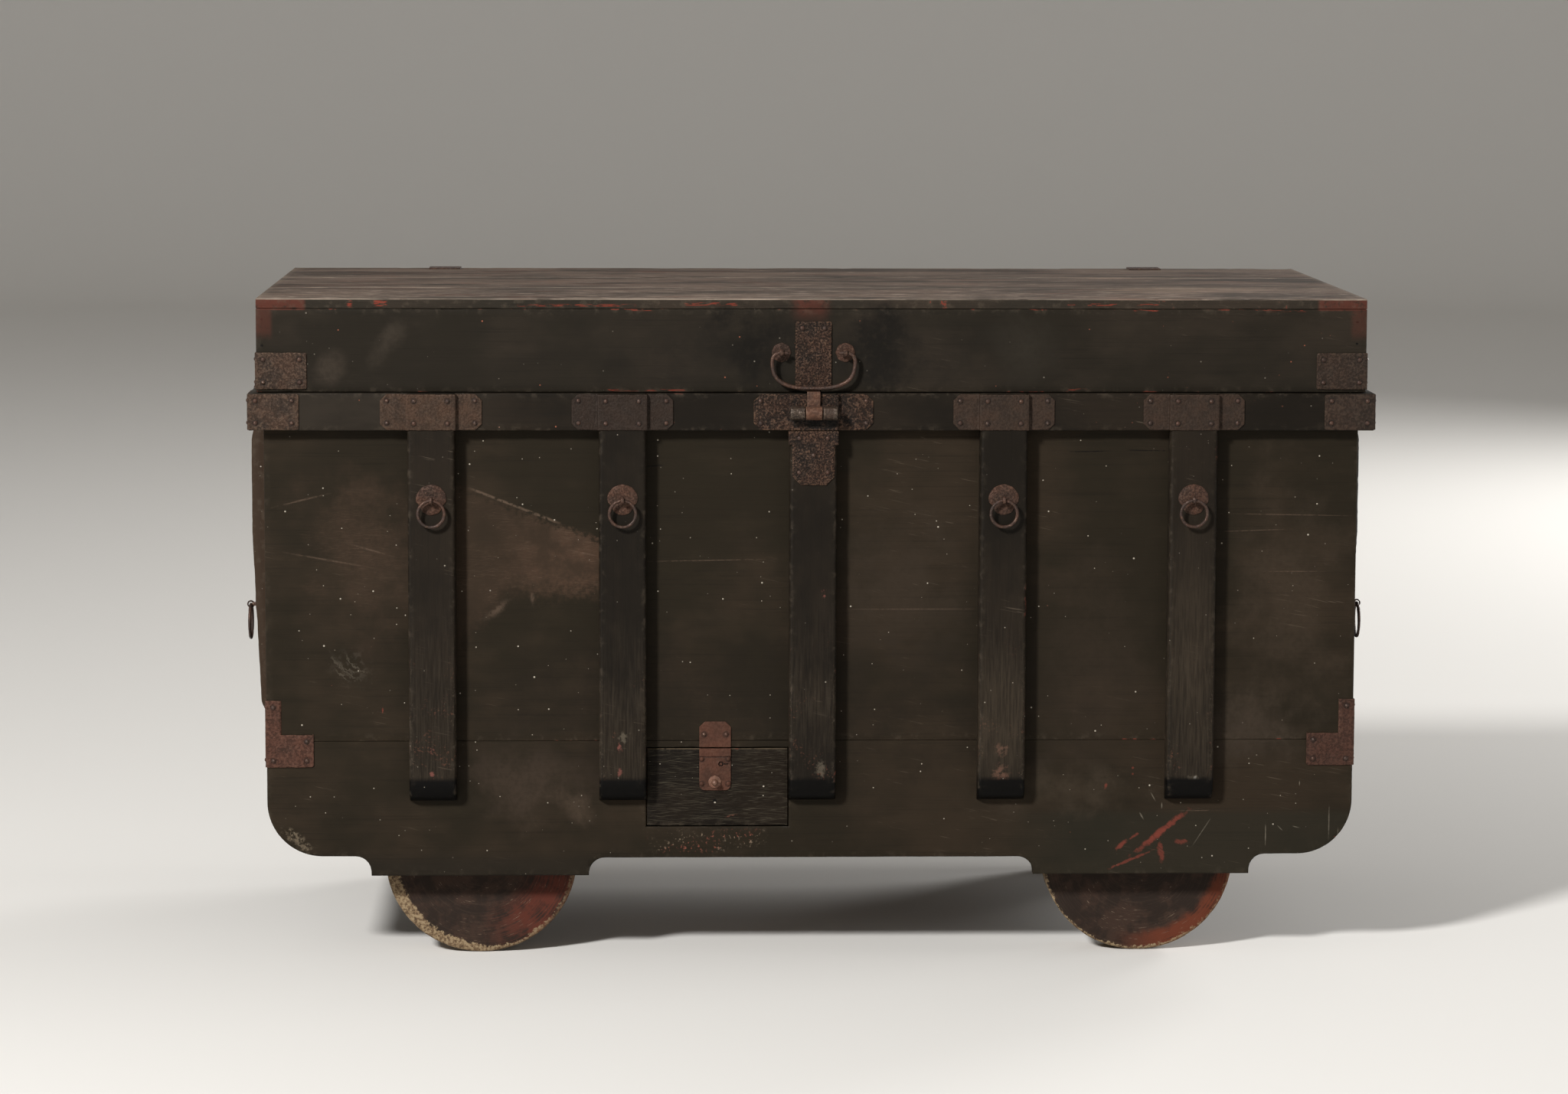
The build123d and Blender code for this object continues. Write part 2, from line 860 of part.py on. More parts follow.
def hinge_side_knuckle(side):
    """Place and width of one outer knuckle of a hinge."""
    inner = hinge_middle_width / 2 + hinge_knuckle_gap
    outer = hinge_width / 2
    return side * (inner + outer) / 2, outer - inner


def hinge_bore(width):
    out, z = hinge_axis()
    radius = hinge_pin_radius + running_clearance
    return Pos(0, -out, z) * rod_along_x(radius, width + overrun)


def trunk_hinge_leaf():
    """Leaf over the top and face of a stile, with the hinge's two outer knuckles."""
    out, z = hinge_axis()
    half = hinge_width / 2
    face = stile_thickness
    down = block(-half, half, -face - plate, -face, seat_z - leaf_drop, seat_z + plate)
    clear = out + hinge_knuckle_radius + hinge_face_gap
    shape = down + block(-half, half, -face, -clear, seat_z, seat_z + plate)
    for side in (-1, 1):
        x, width = hinge_side_knuckle(side)
        shape += Pos(x, -out, z) * rod_along_x(hinge_knuckle_radius, width)
        shape += block(x - width / 2, x + width / 2, -clear, -out, seat_z, seat_z + plate)
    return shape - hinge_bore(hinge_width)


def lid_hinge_strap():
    """Strap over the lid's rear edge and down its back to the hinge's middle knuckle."""
    out, z = hinge_axis()
    half, middle = hinge_width / 2, hinge_middle_width / 2
    face = lid_proud
    low = z + hinge_slot_rise
    shape = block(-half, half, -face - plate, -face, low, lid_top_z + plate)
    shape += block(-half, half, -face, hinge_top_reach - face, lid_top_z, lid_top_z + plate)
    shape += block(-middle, middle, -face - plate, -face, z, low)
    shape += Pos(0, -out, z) * rod_along_x(hinge_knuckle_radius, hinge_middle_width)
    return shape - hinge_bore(hinge_width)


def hinge_pin():
    out, z = hinge_axis()
    return Pos(0, -out, z) * rod_along_x(hinge_pin_radius, hinge_width + 2 * hinge_pin_spare)


def both_hinges(shape):
    return [on_wall(shape, "back", side * hinge_x) for side in (-1, 1)]


def wheel_faces():
    """Outer and inner face of a front wheel, as distances from the middle."""
    outer = half_depth - wheel_setback
    return outer, outer - wheel_thickness


def wheel(x, side):
    """Wooden wheel with rounded rims and a plain bore."""
    outer, inner = wheel_faces()
    disc = Cylinder(wheel_radius, wheel_thickness)
    disc = fillet(disc.edges(), wheel_round)
    disc -= Cylinder(axle_radius + running_clearance, wheel_thickness + overrun)
    return Pos(x, side * (outer + inner) / 2, wheel_radius) * Rot(90, 0, 0) * disc


def axles():
    length = 2 * (half_depth - wall)
    return [Pos(x, 0, wheel_radius) * rod_along_y(axle_radius, length) for x in (-wheel_x, wheel_x)]


def axle_blocks():
    """Bearing blocks behind the front and back boards that hold the axle's ends."""
    outer, _ = wheel_faces()
    near, far = half_depth - wall, outer + wheel_side_gap
    blocks = []
    for x in (-wheel_x, wheel_x):
        shape = block(
            x - bearing_half_width,
            x + bearing_half_width,
            -near,
            -far,
            wheel_radius - bearing_below_axle,
            wheel_radius + bearing_above_axle,
        )
        hole = Pos(x, 0, wheel_radius) * rod_along_y(axle_radius, chest_depth)
        shape -= hole
        blocks += [shape, mirror(shape, about=Plane.XZ)]
    return blocks


def axle_collars():
    """Collars on the axles that keep the wheels from sliding inwards."""
    _, inner = wheel_faces()
    middle = inner - wheel_side_gap - collar_thickness / 2
    collar = rod_along_y(collar_radius, collar_thickness)
    collar -= rod_along_y(axle_radius, collar_thickness + overrun)
    return [Pos(x, y, wheel_radius) * collar for x in (-wheel_x, wheel_x) for y in (-middle, middle)]


def drawer_side_span():
    """Outer half width, bottom and top of the drawer's sides."""
    half = drawer_width / 2 - drawer_side_play
    low = drawer_bottom_z
    return half, low, drawer_bottom_z + drawer_height - drawer_side_drop


def drawer_runners():
    """Two guides under the floor, each with a ledge that carries the drawer, and a stop."""
    half, low, _ = drawer_side_span()
    inner = half + drawer_side_play
    front, back = -(half_depth - wall), -half_depth + drawer_length + stop_thickness
    shapes = []
    for side in (-1, 1):
        x0, x1 = sorted((drawer_x + side * inner, drawer_x + side * (inner + runner_board)))
        ledge_end = drawer_x + side * (inner - runner_ledge)
        e0, e1 = sorted((ledge_end, drawer_x + side * (inner + runner_board)))
        ledge_top = low - slide_gap
        guide = block(x0, x1, front, back, ledge_top - runner_ledge_height, floor_underside_z)
        ledge = block(e0, e1, front, back, ledge_top - runner_ledge_height, ledge_top)
        shapes.append(guide + ledge)
    stop = block(
        drawer_x - inner,
        drawer_x + inner,
        back - stop_thickness + slide_gap,
        back,
        floor_underside_z - stop_height,
        floor_underside_z,
    )
    return shapes + [stop]


def drawer_front():
    """Drawer front with its keyhole and one more small hole."""
    half = drawer_width / 2
    top = drawer_bottom_z + drawer_height
    shape = block(-half, half, 0, drawer_front_thickness, drawer_bottom_z, top)
    shape = Pos(drawer_x, 0, 0) * fillet(shape.edges().filter_by(Axis.Y), drawer_corner)
    shape -= Pos(knob_x, 0, top - hole_drop) * rod_along_y(hole_radius, chest_depth)
    return on_wall(shape - keyhole(), "front")


def keyhole():
    """Tool that cuts the keyhole through the lock plate, the drawer front and the case."""
    inner = drawer_front_thickness + case_wall
    middle = (inner - overrun) / 2
    tool = Pos(keyhole_x, middle, keyhole_z) * rod_along_y(keyhole_radius, inner + overrun)
    half = keyhole_slot_height / 2
    slot_end = keyhole_x + keyhole_slot_length
    return tool + block(keyhole_x, slot_end, -overrun, inner, keyhole_z - half, keyhole_z + half)


def drawer_walls():
    """Two sides and a back, standing behind the drawer front."""
    half, low, high = drawer_side_span()
    near = -half_depth + drawer_front_thickness
    far = -half_depth + drawer_length
    shapes = []
    for side in (-1, 1):
        x0, x1 = sorted((drawer_x + side * (half - drawer_board), drawer_x + side * half))
        shapes.append(block(x0, x1, near, far, low, high))
    inner = half - drawer_board
    shapes.append(block(drawer_x - inner, drawer_x + inner, far - drawer_board, far, low, high))
    return shapes


def drawer_base_board():
    half, low, _ = drawer_side_span()
    inner = half - drawer_board
    near = -half_depth + drawer_front_thickness
    far = -half_depth + drawer_length - drawer_board
    z = low + drawer_base_rise
    return block(drawer_x - inner, drawer_x + inner, near, far, z, z + drawer_base)


def drawer_lock_plate():
    """Lock plate with rounded lower corners, a raised band at its top and a keyhole."""
    half = lock_plate_width / 2
    top = drawer_bottom_z + drawer_height
    shape = block(-half, half, -plate, 0, top - lock_plate_height, top)
    low_edges = [edge for edge in shape.edges().filter_by(Axis.Y) if edge.center().Z < top - wall]
    shape = fillet(low_edges, lock_plate_corner)
    shape += block(-half, half, -plate - lock_band_raise, 0, top - lock_band_height, top)
    return on_wall(Pos(lock_x, 0, 0) * shape - keyhole(), "front")


def strike_plate():
    """Plate above the drawer, with clipped upper corners."""
    half = lock_plate_width / 2
    outline = Polyline(
        (-half, 0),
        (half, 0),
        (half, strike_height - strike_clip),
        (half - strike_clip, strike_height),
        (-half + strike_clip, strike_height),
        (-half, strike_height - strike_clip),
        close=True,
    )
    return on_wall(plate_from_outline(outline, plate), "front", lock_x, opening_top_z)


def drawer_lock_case():
    """Iron case behind the drawer front that guides the bolt."""
    top = drawer_bottom_z + drawer_height - case_top_drop
    shape = block(
        lock_x - case_width / 2,
        lock_x + case_width / 2,
        drawer_front_thickness,
        drawer_front_thickness + case_depth,
        top - case_height,
        top,
    )
    front, back = bolt_y_range()
    guide = bolt_width / 2 + bolt_play
    bolt_low = drawer_bottom_z + drawer_height - bolt_top_drop - bolt_height
    shape -= block(
        lock_x - guide,
        lock_x + guide,
        front - bolt_play,
        back + bolt_play,
        bolt_low - bolt_play,
        top + overrun,
    )
    return on_wall(shape - keyhole(), "front")


def drawer_lock_bolt():
    front, back = bolt_y_range()
    top = drawer_bottom_z + drawer_height - bolt_top_drop
    half = bolt_width / 2
    shape = block(lock_x - half, lock_x + half, front, back, top - bolt_height, top)
    return on_wall(shape, "front")


def drawer_knob():
    """Rosette, stem and ball turned as one piece."""
    shape = Pos(0, -plate - rosette_height / 2, 0) * rod_along_y(rosette_radius, rosette_height)
    stem_end = plate + rosette_height + knob_stem_length
    stem_middle = (plate + stem_end) / 2
    shape += Pos(0, -stem_middle, 0) * rod_along_y(knob_stem_radius, stem_end - plate)
    shape += Pos(0, -stem_end, 0) * Sphere(knob_radius)
    return on_wall(shape, "front", knob_x, knob_z)


def drawer_nails():
    """Nails at the corners of the lock plate."""
    top = drawer_bottom_z + drawer_height
    heads = []
    for side in (-1, 1):
        place = lock_x + side * (lock_plate_width / 2 - nail_ball)
        for drop in (lock_band_height + nail_ball, lock_plate_height - nail_inset):
            heads.append(on_wall(nail(), "front", place, top - drop, plate))
    return heads


def save(name, made):
    """Writes one sub-part, moved so that the origin is under the middle of the trunk."""
    solids = made if isinstance(made, list) else [made]
    solids = [piece for shape in solids for piece in shape.solids()]
    shape = Compound(solids) if len(solids) > 1 else solids[0]
    export_step(Pos(0, centre_y, 0) * shape, "parts/" + name + ".step")


def main():
    os.makedirs("parts", exist_ok=True)
    save("front_upper_board", upper_board("front"))
    save("front_lower_board", front_lower_board())
    save("back_upper_board", upper_board("back"))
    save("back_lower_board", back_lower_board())
    save("side_boards", side_boards())
    save("end_sills", end_sills())
    save("floor_board", floor_board())
    save("front_rail", long_rail("front"))
    save("back_rail", long_rail("back"))
    save("side_rails", side_rails())
    save("front_stiles", long_stiles("front"))
    save("back_stiles", long_stiles("back"))
    save("side_stiles", side_stiles())
    save("rim_strips", rim_strips())
    save("rail_plates", rail_plates())
    save("corner_brackets", corner_brackets())
    save("trunk_nails", trunk_nails())
    save("latch_plate", latch_plate())
    save("latch_leg_plate", latch_leg_plate())
    save("ring_backplates", ring_backplates())
    save("ring_eyes", ring_eyes())
    save("axles", axles())
    save("axle_blocks", axle_blocks())
    save("axle_collars", axle_collars())
    save("drawer_runners", drawer_runners())
    save("strike_plate", strike_plate())
    save("trunk_hinge_leaves", both_hinges(trunk_hinge_leaf()))
    save("hinge_pins", both_hinges(hinge_pin()))
    save("drawer_front", drawer_front())
    save("drawer_walls", drawer_walls())
    save("drawer_base", drawer_base_board())
    save("drawer_lock_plate", drawer_lock_plate())
    save("drawer_lock_case", drawer_lock_case())
    save("drawer_knob", drawer_knob())
    save("drawer_nails", drawer_nails())
    save("drawer_lock_bolt", drawer_lock_bolt())
    save("lid_top_boards", lid_top_boards())
    save("lid_front_board", lid_long_board("front"))
    save("lid_back_board", lid_long_board("back"))
    save("lid_end_boards", lid_end_boards())
    save("lid_battens", lid_battens())
    save("lid_corner_plates", lid_corner_plates())
    save("lid_strap", lid_strap())
    save("lid_latch_eye", lid_latch_eye())
    save("lid_nails", lid_nails())
    save("bail_posts", bail_posts())
    save("lid_hinge_straps", both_hinges(lid_hinge_strap()))
    save("bail_handle", bail_handle())
    for x, across in ((-wheel_x, "left"), (wheel_x, "right")):
        for side, end in ((-1, "front"), (1, "back")):
            save("wheel_" + end + "_" + across, wheel(x, side))
    for name, wall_name, place, height, proud, lean in ring_seats():
        save(name, ring_pull(wall_name, place, height, proud, lean))


main()
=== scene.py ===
import json
import math

import bpy
import numpy as np
from mathutils import Matrix, Vector


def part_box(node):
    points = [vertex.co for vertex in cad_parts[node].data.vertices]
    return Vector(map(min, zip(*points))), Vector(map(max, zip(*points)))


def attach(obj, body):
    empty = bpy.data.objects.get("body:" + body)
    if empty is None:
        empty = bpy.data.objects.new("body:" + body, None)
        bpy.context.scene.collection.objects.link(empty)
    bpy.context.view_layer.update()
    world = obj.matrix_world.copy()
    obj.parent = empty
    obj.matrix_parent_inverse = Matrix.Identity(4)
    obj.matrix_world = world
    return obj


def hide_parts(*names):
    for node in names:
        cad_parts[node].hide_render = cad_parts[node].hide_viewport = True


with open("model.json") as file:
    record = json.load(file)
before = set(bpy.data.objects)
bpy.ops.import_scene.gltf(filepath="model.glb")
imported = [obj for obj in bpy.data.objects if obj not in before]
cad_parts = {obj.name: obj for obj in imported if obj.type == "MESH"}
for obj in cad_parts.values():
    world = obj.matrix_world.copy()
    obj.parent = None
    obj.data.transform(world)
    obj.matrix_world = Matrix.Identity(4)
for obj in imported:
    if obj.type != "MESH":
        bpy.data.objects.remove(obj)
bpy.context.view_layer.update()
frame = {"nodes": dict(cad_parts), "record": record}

# The wheeled trunk's looks. Shapes are worked out in millimetres and stored in metres.

MM = 0.001

# Sizes shared with the solids, in millimetres
HALF_LENGTH, HALF_DEPTH = 790.0, 380.0
WALL = 20.0
SEAT = 828.0
RAIL_LOW, RAIL_OUT = 774.0, 20.0
STILE_HALF, STILE_OUT, STILE_PITCH, STILE_LOW = 34.0, 27.0, 274.5, 233.5
LAP_BACK = 10.0
END_POST_FOOT, END_POST_BULGE, END_POST_BEND = 328.0, 600.0, 742.0
END_POST_LOW, END_POST_OUT = 24.0, 35.0
END_TAPER = END_POST_BULGE - END_POST_FOOT - END_POST_LOW
END_RING_SHARE = 0.558
LID_PROUD, LID_WALL = 9.0, 14.0
JOINT_LEVEL = 320.0
PLATE = 2.0
NAIL_INSET = 10.0
LOCK_X, KEY_X, KEY_Z = -140.5, -132.0, 286.0
DRAWER_OPENING = (-241.0, -33.5, 193.5, 310.5)

# The shaped lower edge: levels, where its runs end, and the radii between them
BELLY_LEVEL, BLOCK_LEVEL, TOE_LEVEL = 148.0, 122.0, 151.0
BLOCK_START, BLOCK_END, TOE_START = 324.0, 640.0, 710.0
COVE, TOE_RADIUS = 23.0, 80.0

MIDDLE_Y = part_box("front_upper_board")[0][1] / MM + HALF_DEPTH

# Faces that meet at more than this are shaded apart
CREASE = math.radians(38)

# Distance from the middle, and cosine and sine of the turn, of each wall
WALLS = {
    "front": (HALF_DEPTH, 1, 0),
    "right": (HALF_LENGTH, 0, 1),
    "back": (HALF_DEPTH, -1, 0),
    "left": (HALF_LENGTH, 0, -1),
}
FRONT_PLACES = [k * STILE_PITCH for k in (-2, -1, 0, 1, 2)]
END_PLACES = [(wall, side * STILE_PITCH / 2) for wall in ("left", "right") for side in (-1, 1)]


# Shapes

def mottle(points, size, seed):
    """Smooth random field from -1 to 1: random numbers at the corners of a lattice of cubes of
    the given size, blended along each axis by 3t^2 - 2t^3."""
    place = points / size
    cell = np.floor(place).astype(np.int64)
    part = place - cell
    part = part * part * (3 - 2 * part)
    total = np.zeros(points.shape[:-1])
    for corner in range(8):
        step = np.array([(corner >> k) & 1 for k in range(3)])
        n = cell + step
        # Large odd numbers scramble the corner's place and the seed
        code = (n[..., 0] * 73856093) ^ (n[..., 1] * 19349663) ^ (n[..., 2] * 83492791) ^ (seed * 2654435)
        code = (code ^ (code >> 15)) * 2246822519 & 0xFFFFFFFF
        code = (code ^ (code >> 13)) * 3266489917 & 0xFFFFFFFF
        value = ((code ^ (code >> 16)) & 0xFFFF) / 65535.0
        total += np.where(step == 1, part, 1 - part).prod(axis=-1) * value
    return 2 * total - 1


def bumps(points, size, seed, above=0.0):
    """The part of the random field that is over a level."""
    return np.clip(mottle(points, size, seed) - above, 0, 1)


def waves(points, size, seed):
    """The random field from 0 to 1."""
    return 0.5 + 0.5 * mottle(points, size, seed)


def fall(gap, radius):
    """How far a rounded border lies below its face: a quarter circle, nothing from a radius inwards."""
    return radius - np.sqrt(np.clip(radius ** 2 - np.clip(radius - gap, 0, radius) ** 2, 0, None))


def nearest(points, others, batch=100):
    """Distance from each point to the nearest of the others."""
    gap = np.full(points.shape[:-1], 1e9)
    for k in range(0, len(others), batch):
        gap = np.minimum(gap, np.linalg.norm(points[..., None, :] - others[k:k + batch], axis=-1).min(-1))
    return gap


def once_round(count):
    """Equal steps of angle round a circle."""
    return np.linspace(0, 2 * math.pi, count + 1)[:-1]


def spaced(low, high, step, fine):
    """Positions from low to high: close together at both ends, then evenly about step apart."""
    near = [f for f in fine if f < (high - low) / 2.2]
    count = max(2, int(round((high - low - 2 * near[-1]) / step)) + 1)
    middle = np.linspace(low + near[-1], high - near[-1], count)
    return np.concatenate([low + np.array(near[:-1]), middle, high - np.array(near[:-1])[::-1]])


def rounded_loop(corners, radii, spacing, small=8.0):
    """Closed outline: each corner of a polygon is replaced by an arc that touches both its sides, and
    the straight runs are divided evenly. Returns the points and how near each is to a sharp arris."""
    corners = np.array(corners, float)
    radii = np.broadcast_to(radii, len(corners))
    ahead = np.roll(corners, -1, 0) - corners
    ahead /= np.linalg.norm(ahead, axis=1)[:, None]
    arcs = []
    for corner, radius, before, after in zip(corners, radii, np.roll(ahead, 1, 0), ahead):
        turn = math.acos(np.clip(np.dot(before, after), -1, 1))
        inward = (after - before) / np.linalg.norm(after - before)
        centre = corner + inward * radius / math.cos(turn / 2)
        reach = radius * math.tan(turn / 2)
        start, end = corner - before * reach - centre, corner + after * reach - centre
        share = np.linspace(0, 1, 4 if radius < small else 15)[:, None]
        arcs.append(centre + (np.sin((1 - share) * turn) * start + np.sin(share * turn) * end) / math.sin(turn))
    points, sharp = [], []
    for arc, after, radius in zip(arcs, arcs[1:] + arcs[:1], radii):
        count = max(1, int(round(np.linalg.norm(after[0] - arc[-1]) / spacing)))
        share = np.linspace(0, 1, count + 1)[1:-1][:, None]
        points += [arc, arc[-1] * (1 - share) + after[0] * share]
        sharp += [radius < small] * len(arc) + [False] * (count - 1)
    points = np.concatenate(points)
    return points, np.exp(-nearest(points, points[np.array(sharp)]) / 4.0)


def tube(rings, closed=False):
    """Sides of a run of equal loops: quads between neighbours, and a flat face over each end unless
    the run closes on itself."""
    n, m = rings.shape[:2]
    i = np.arange(n if closed else n - 1)[:, None]
    j = np.arange(m)[None, :]
    after, beside = (i + 1) % n, (j + 1) % m
    quads = np.stack([i * m + j, i * m + beside, after * m + beside, after * m + j], -1).reshape(-1, 4)
    ends = [] if closed else [list(range(m))[::-1], list(range((n - 1) * m, n * m))]
    return rings.reshape(-1, 3), quads.tolist() + ends


def poled(rings, first, last):
    """Run of loops closed at each end by a fan of triangles to one point."""
    n, m = rings.shape[:2]
    points, faces = tube(rings)
    j = np.arange(m)
    beside = (j + 1) % m
    faces[-2:] = np.stack([beside, j, np.full(m, n * m)], -1).tolist()
    faces += np.stack([j + (n - 1) * m, beside + (n - 1) * m, np.full(m, n * m + 1)], -1).tolist()
    return np.concatenate([points, [first, last]]), faces


def slab(front, back, keep=None):
    """Closed plate between two grids of the same shape: both grids, and a wall round every border of
    the cells that are kept. Also returns which points of the grids it uses."""
    n, m = front.shape[:2]
    keep = np.ones((n - 1, m - 1), bool) if keep is None else keep
    at = np.arange(n * m).reshape(n, m)
    under = at + n * m
    cells = np.stack([at[:-1, :-1], at[1:, :-1], at[1:, 1:], at[:-1, 1:]], -1)[keep]
    faces = [cells, cells[:, ::-1] + n * m]
    wide = np.pad(keep, 1)
    for here, there, a, b in (
        (wide[1:-1, 1:], wide[1:-1, :-1], (at[1:, :], at[:-1, :]), (under[:-1, :], under[1:, :])),
        (wide[1:-1, :-1], wide[1:-1, 1:], (at[:-1, :], at[1:, :]), (under[1:, :], under[:-1, :])),
        (wide[1:, 1:-1], wide[:-1, 1:-1], (at[:, :-1], at[:, 1:]), (under[:, 1:], under[:, :-1])),
        (wide[:-1, 1:-1], wide[1:, 1:-1], (at[:, 1:], at[:, :-1]), (under[:, :-1], under[:, 1:])),
    ):
        faces.append(np.stack([a[0], a[1], b[0], b[1]], -1)[here & ~there])
    faces = np.concatenate(faces)
    points = np.concatenate([front.reshape(-1, 3), back.reshape(-1, 3)])
    used, where = np.unique(faces, return_inverse=True)
    return points[used], where.reshape(faces.shape).tolist(), used


def outward(points, faces):
    """The same faces, all turned over if the volume they enclose comes out negative. The volume is the
    sum, over triangles, of a . (b x c) / 6."""
    centre = points.mean(axis=0)
    total = 0.0
    for size in {len(f) for f in faces}:
        group = points[np.array([f for f in faces if len(f) == size])] - centre
        for k in range(1, size - 1):
            total += np.einsum("ij,ij->", group[:, 0], np.cross(group[:, k], group[:, k + 1]))
    return [f[::-1] for f in faces] if total < 0 else faces


def merged(shapes):
    """Several (points, faces, arris, nail ring and painted shade, around) shapes as one, the last three
    filled with zeros where a shape ends before them."""
    points, faces, marks, start = [], [], [[], [], []], 0
    for shape in shapes:
        points.append(shape[0])
        faces += [[v + start for v in face] for face in outward(shape[0], shape[1])]
        for k, width in enumerate(((), (), (3,))):
            given = shape[k + 2] if len(shape) > k + 2 else None
            marks[k].append(np.zeros((len(shape[0]),) + width) if given is None else given)
        start += len(shape[0])
    return [np.concatenate(points), faces] + [np.concatenate(mark) for mark in marks]


def shown(name, points, faces, finish):
    """Links a smooth-shaded mesh of points in millimetres to the scene."""
    mesh = bpy.data.meshes.new(name)
    mesh.from_pydata((points * MM).tolist(), [], faces)
    mesh.polygons.foreach_set("use_smooth", np.ones(len(faces), bool))
    mesh.materials.append(finish)
    made = bpy.data.objects.new(name, mesh)
    bpy.context.scene.collection.objects.link(made)
    return made


def piece(name, shapes, finish, body, *stands_for):
    """Makes one object of several shapes, and ties it to its body and to the nodes that it replaces."""
    points, faces, *marks = merged(shapes)
    made = shown(name, points, faces, finish)
    for mark, kind, field, values in zip(("arris", "nail_ring_and_shade", "around"), ("FLOAT", "FLOAT", "FLOAT_VECTOR"),
                                         ("value", "value", "vector"), marks):
        if values.any():
            data = made.data.attributes.new(mark, kind, "POINT").data
            data.foreach_set(field, values.astype(np.float32).ravel())
    made.data.set_sharp_from_angle(angle=CREASE)
    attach(made, body)
    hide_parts(*stands_for)


def on_wall(shape, wall, along=0.0, height=0.0):
    """Turns a shape made for a wall that faces -Y about Z and moves it on to a wall of the chest.
    y = 0 is the wall's own face before the turn."""
    distance, c, s = WALLS[wall]
    x, y, z = (shape[0] + np.array([along, -distance, height])).T
    return (np.stack([c * x - s * y, s * x + c * y + MIDDLE_Y, z], -1),) + tuple(shape[1:])


def moved(shape, x, y, z):
    """The same shape elsewhere."""
    return (shape[0] + np.array([x, y, z]),) + tuple(shape[1:])


def turned_over(shape, axis):
    """Mirror image of a shape in the middle plane across the given axis."""
    points = shape[0].copy()
    points[:, axis] = (0.0, 2 * MIDDLE_Y)[axis] - points[:, axis]
    return (points,) + tuple(shape[1:])


def at_four_corners(make):
    """Shapes made for the front left corner with numbers 0, 2, 1 and 3: as made, turned over to the
    back, to the right and to both."""
    shapes = [make(0), turned_over(make(2), 1), turned_over(make(1), 0)]
    return shapes + [turned_over(turned_over(make(3), 0), 1)]


def carried(loop, weight, axis, low, high, step, rounding=1.4, chips=0.8, hollow=0.25, seed=1):
    """Bar: an outline carried along an axis. Near each end its rings are drawn in by a quarter
    circle. Arrises are worn back where one random field is high, and faces sink in slow waves."""
    places = spaced(low, high, step, (0.0, 0.3 * rounding, rounding))
    depth = np.minimum(places - low, high - places)
    tangent = np.roll(loop, -1, 0) - np.roll(loop, 1, 0)
    normal = np.stack([tangent[:, 1], -tangent[:, 0]], -1)
    normal /= np.linalg.norm(normal, axis=1)[:, None] + 1e-9
    others = [(axis + 1) % 3, (axis + 2) % 3]
    rings = np.empty((len(places), len(loop), 3))
    rings[..., axis] = places[:, None]
    rings[..., others] = loop - normal * (0.8 * fall(depth, rounding))[:, None, None]
    worn = bumps(rings, 26.0, seed, 0.1) + 1.3 * bumps(rings, 7.0, seed + 1, 0.45)
    sink = chips * weight ** 2 * worn + hollow * waves(rings, 170.0, seed + 2)
    sink = sink * np.where(depth > rounding, 1.0, 0.3)[:, None]
    rings[..., others] -= normal * sink[..., None]
    near = np.maximum(weight, 0.8 * np.exp(-depth / 4.0)[:, None])
    return tube(rings) + (near.ravel(),)


def board(low, high, axis, step=9.0, across=12.0, radius=1.4, **wear):
    """Plank between two corners, its section a rectangle with rounded arrises."""
    b, c = (axis + 1) % 3, (axis + 2) % 3
    corners = [(low[b], low[c]), (high[b], low[c]), (high[b], high[c]), (low[b], high[c])]
    loop, weight = rounded_loop(corners, radius, across)
    return carried(loop, weight, axis, low[axis], high[axis], step, radius, **wear)


def node_corners(node):
    """Corners of a solid in millimetres."""
    return [np.array(corner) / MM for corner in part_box(node)]


def end_board(side, face, thickness, depth, low, high, *spacing, seed):
    """Plank along Y behind the given face of an end of the trunk."""
    x = sorted((side * (face - thickness), side * face))
    return board((x[0], MIDDLE_Y - depth, low), (x[1], MIDDLE_Y + depth, high), 1, *spacing, seed=seed)


# Lower boards

def lower_edge(x):
    """Height of the shaped lower edge: flat runs joined by hollow quarter circles beside the wheel
    blocks and by a full quarter circle at each end."""
    x = np.abs(x)
    inner, outer = x - (BLOCK_START - COVE), BLOCK_END + COVE - x
    z = np.where(x > BLOCK_START - COVE, BELLY_LEVEL - fall(COVE - inner, COVE), BELLY_LEVEL)
    z = np.where(x > BLOCK_START, BLOCK_LEVEL, z)
    z = np.where(x > BLOCK_END, TOE_LEVEL - fall(COVE - outer, COVE), z)
    z = np.where(x > BLOCK_END + COVE, TOE_LEVEL, z)
    return np.where(x > TOE_START, TOE_LEVEL + fall(HALF_LENGTH - x, TOE_RADIUS), z)


